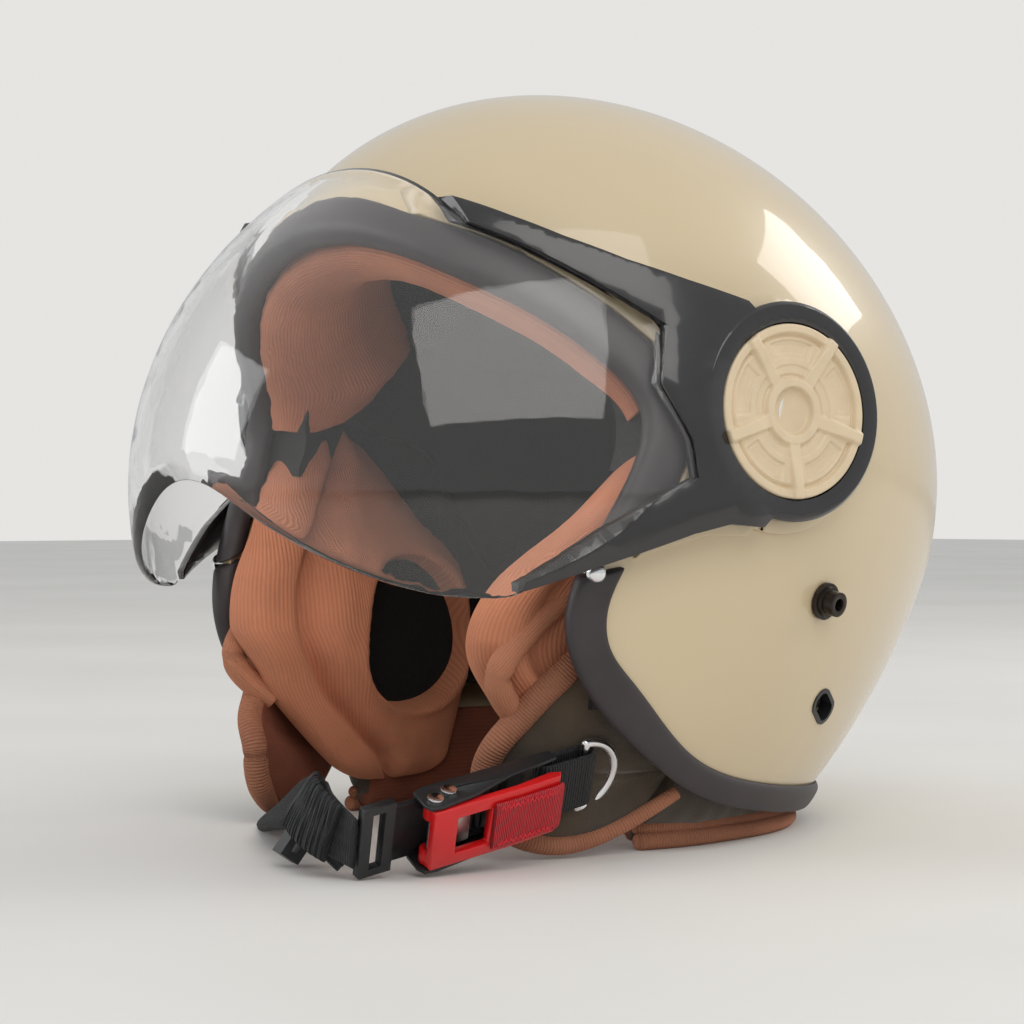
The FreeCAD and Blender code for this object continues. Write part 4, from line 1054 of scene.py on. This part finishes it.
def knob_height(r, turn):
    """Height of the knob's face over its floor, in millimetres, at a radius and an angle."""

    def step(x, low, high):
        t = np.clip((x - low) / (high - low), 0, 1)
        return t * t * (3 - 2 * t)

    sector = 2 * math.pi / KNOB_RIBS
    angle = (turn + math.pi / 2 + sector / 2) % sector - sector / 2
    sideways = r * np.sin(angle)
    mid = (turn + math.pi / 2) % sector - sector / 2
    h = np.full_like(r, 1.0)
    h += 1.9 * step(r, 25.2, 26.4)
    h = h + 0.55 * step(r, 12.2, 12.8) * (1 - step(r, 24.6, 25.2))
    h += 0.5 * step(r, 15.2, 15.7) * (1 - step(r, 24.0, 24.6))
    arc = (1 - step(np.abs(mid), 0.36, 0.40)) * step(r, 17.6, 18.1) * (1 - step(r, 23.4, 23.9))
    inner_arc = (1 - step(np.abs(mid), 0.27, 0.31)) * step(r, 19.2, 19.7)
    inner_arc *= 1 - step(r, 22.2, 22.7)
    h = h - 0.8 * arc - 0.5 * inner_arc
    ring = step(r, 7.4, 8.4) * (1 - step(r, 10.6, 11.8))
    dish = (1 - step(r, 6.8, 8.0)) * (1 - 0.25 * (r / 7.5) ** 2)
    h = np.maximum(h, 1.0 + 1.7 * ring) - dish
    width = 2.1 + 0.5 * (1 - r / 29.0)
    rib = 1 - step(np.abs(sideways), width - 0.6, width + 0.6)
    rib = rib * step(r, 9.8, 11.0) * (1 - step(r, 28.2, 29.0))
    rib_top = 2.4 + 1.9 * step(r, 10.0, 25.0)
    return np.where(rib > 0, np.maximum(h, h * (1 - rib) + rib_top * rib), h)


def knob(side):
    """The knob's ribbed face, its rounded rim and its back, about the joint's outward axis."""
    sign = 1 if side == "left" else -1
    hinge = joint("knob_turn_" + side)
    axis = np.array(hinge["axis"])
    if axis[0] * sign < 0:
        axis = -axis
    centre = np.array(hinge["pos_m"]) / MM - SHIFT
    up = np.array([0, 0, 1.0]) - axis * axis[2]
    up /= np.linalg.norm(up)
    front = np.cross(up, axis) * sign
    face = np.linspace(0.4, 28.2, 96)
    radii = np.concatenate([face, [28.6, 28.85, 29.0, 29.0, 28.6, 20.0, 8.0]])
    turns = np.linspace(0, 2 * math.pi, 360, endpoint=False)
    r, turn = np.meshgrid(radii, turns, indexing="ij")
    height = KNOB_FLOOR_LEVEL + knob_height(r, turn)
    edge = len(face)
    for index, drop in enumerate(KNOB_RIM_DROPS):
        height[edge + index] = height[edge - 1] - drop
    height[edge + len(KNOB_RIM_DROPS):] = KNOB_BACK_LEVEL
    points = (centre + front * (r * np.cos(turn))[..., None] + up * (r * np.sin(turn))[..., None]
              + axis * height[..., None])
    piece = swept("knob_face_" + side, points, "knob_" + side)
    paint(piece, KNOB)
    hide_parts("knob_" + side)


for side in ("left", "right"):
    knob(side)

# ------------------------------------------------------------- floor, light and camera
CAMERA_PLACE = (676.4, -667.1, 115.8)
CAMERA_AIM_DEG = 45.4
CAMERA_LENS = 89.33
CAMERA_PAN = 0.0294
CAMERA_DIP = 0.00161


def paper_floor():
    bpy.ops.mesh.primitive_plane_add(size=14, location=(0, 0, 0))
    floor = bpy.context.object
    floor.name = "floor"
    material = shader("floor_paper", 0.6)
    set_color(material, tint(material, noise(material, 3.0), linear(226, 224, 219),
                             linear(232, 230, 226)))
    floor.data.materials.append(material)


def area_light(name, place, aim, size, watts, color):
    data = bpy.data.lights.new(name, "AREA")
    data.shape = "RECTANGLE"
    data.size, data.size_y = size
    data.energy = watts
    data.color = color
    lamp = bpy.data.objects.new(name, data)
    lamp.location = place
    lamp.rotation_euler = (Vector(aim) - Vector(place)).to_track_quat("-Z", "Y").to_euler()
    bpy.context.scene.collection.objects.link(lamp)


def studio():
    """Floor, world, lights and camera. The world that the camera sees is the pale backdrop."""
    paper_floor()
    world = bpy.data.worlds.new("studio")
    bpy.context.scene.world = world
    world.use_nodes = True
    tree = world.node_tree
    background = tree.nodes["Background"]
    background.inputs["Color"].default_value = (0.80, 0.81, 0.82, 1)
    background.inputs["Strength"].default_value = 0.75
    seen = tree.nodes.new("ShaderNodeBackground")
    seen.inputs["Color"].default_value = (0.79, 0.78, 0.76, 1)
    path = tree.nodes.new("ShaderNodeLightPath")
    mixed = tree.nodes.new("ShaderNodeMixShader")
    either = tree.nodes.new("ShaderNodeMath")
    either.operation = "MAXIMUM"
    tree.links.new(path.outputs["Is Camera Ray"], either.inputs[0])
    tree.links.new(path.outputs["Is Transmission Ray"], either.inputs[1])
    tree.links.new(either.outputs[0], mixed.inputs[0])
    tree.links.new(background.outputs[0], mixed.inputs[1])
    tree.links.new(seen.outputs[0], mixed.inputs[2])
    tree.links.new(mixed.outputs[0], tree.nodes["World Output"].inputs["Surface"])
    aim = (0.0, 0.0, 0.13)
    area_light("key", (1.5, -0.7, 1.5), aim, (1.6, 1.6), 16, (1.0, 0.98, 0.95))
    area_light("fill", (-1.2, -1.6, 0.9), aim, (1.2, 1.0), 8, (0.98, 0.98, 1.0))
    area_light("back", (0.6, 1.6, 1.2), aim, (1.0, 0.7), 9, (1.0, 0.97, 0.93))
    scene = bpy.context.scene
    scene.view_settings.view_transform = "Standard"
    data = bpy.data.cameras.new("camera")
    data.sensor_width = 36
    data.lens = CAMERA_LENS
    data.clip_start = 0.01
    camera = bpy.data.objects.new("camera", data)
    turn = math.radians(CAMERA_AIM_DEG)
    right = Vector((math.cos(turn), math.sin(turn), 0))
    forward = Vector((-math.sin(turn), math.cos(turn), 0)) - CAMERA_PAN * right
    forward.z -= CAMERA_DIP
    look = forward.to_track_quat("-Z", "Y").to_matrix().to_4x4()
    camera.matrix_world = Matrix.Translation(row(CAMERA_PLACE)) @ look
    scene.collection.objects.link(camera)
    scene.camera = camera


studio()
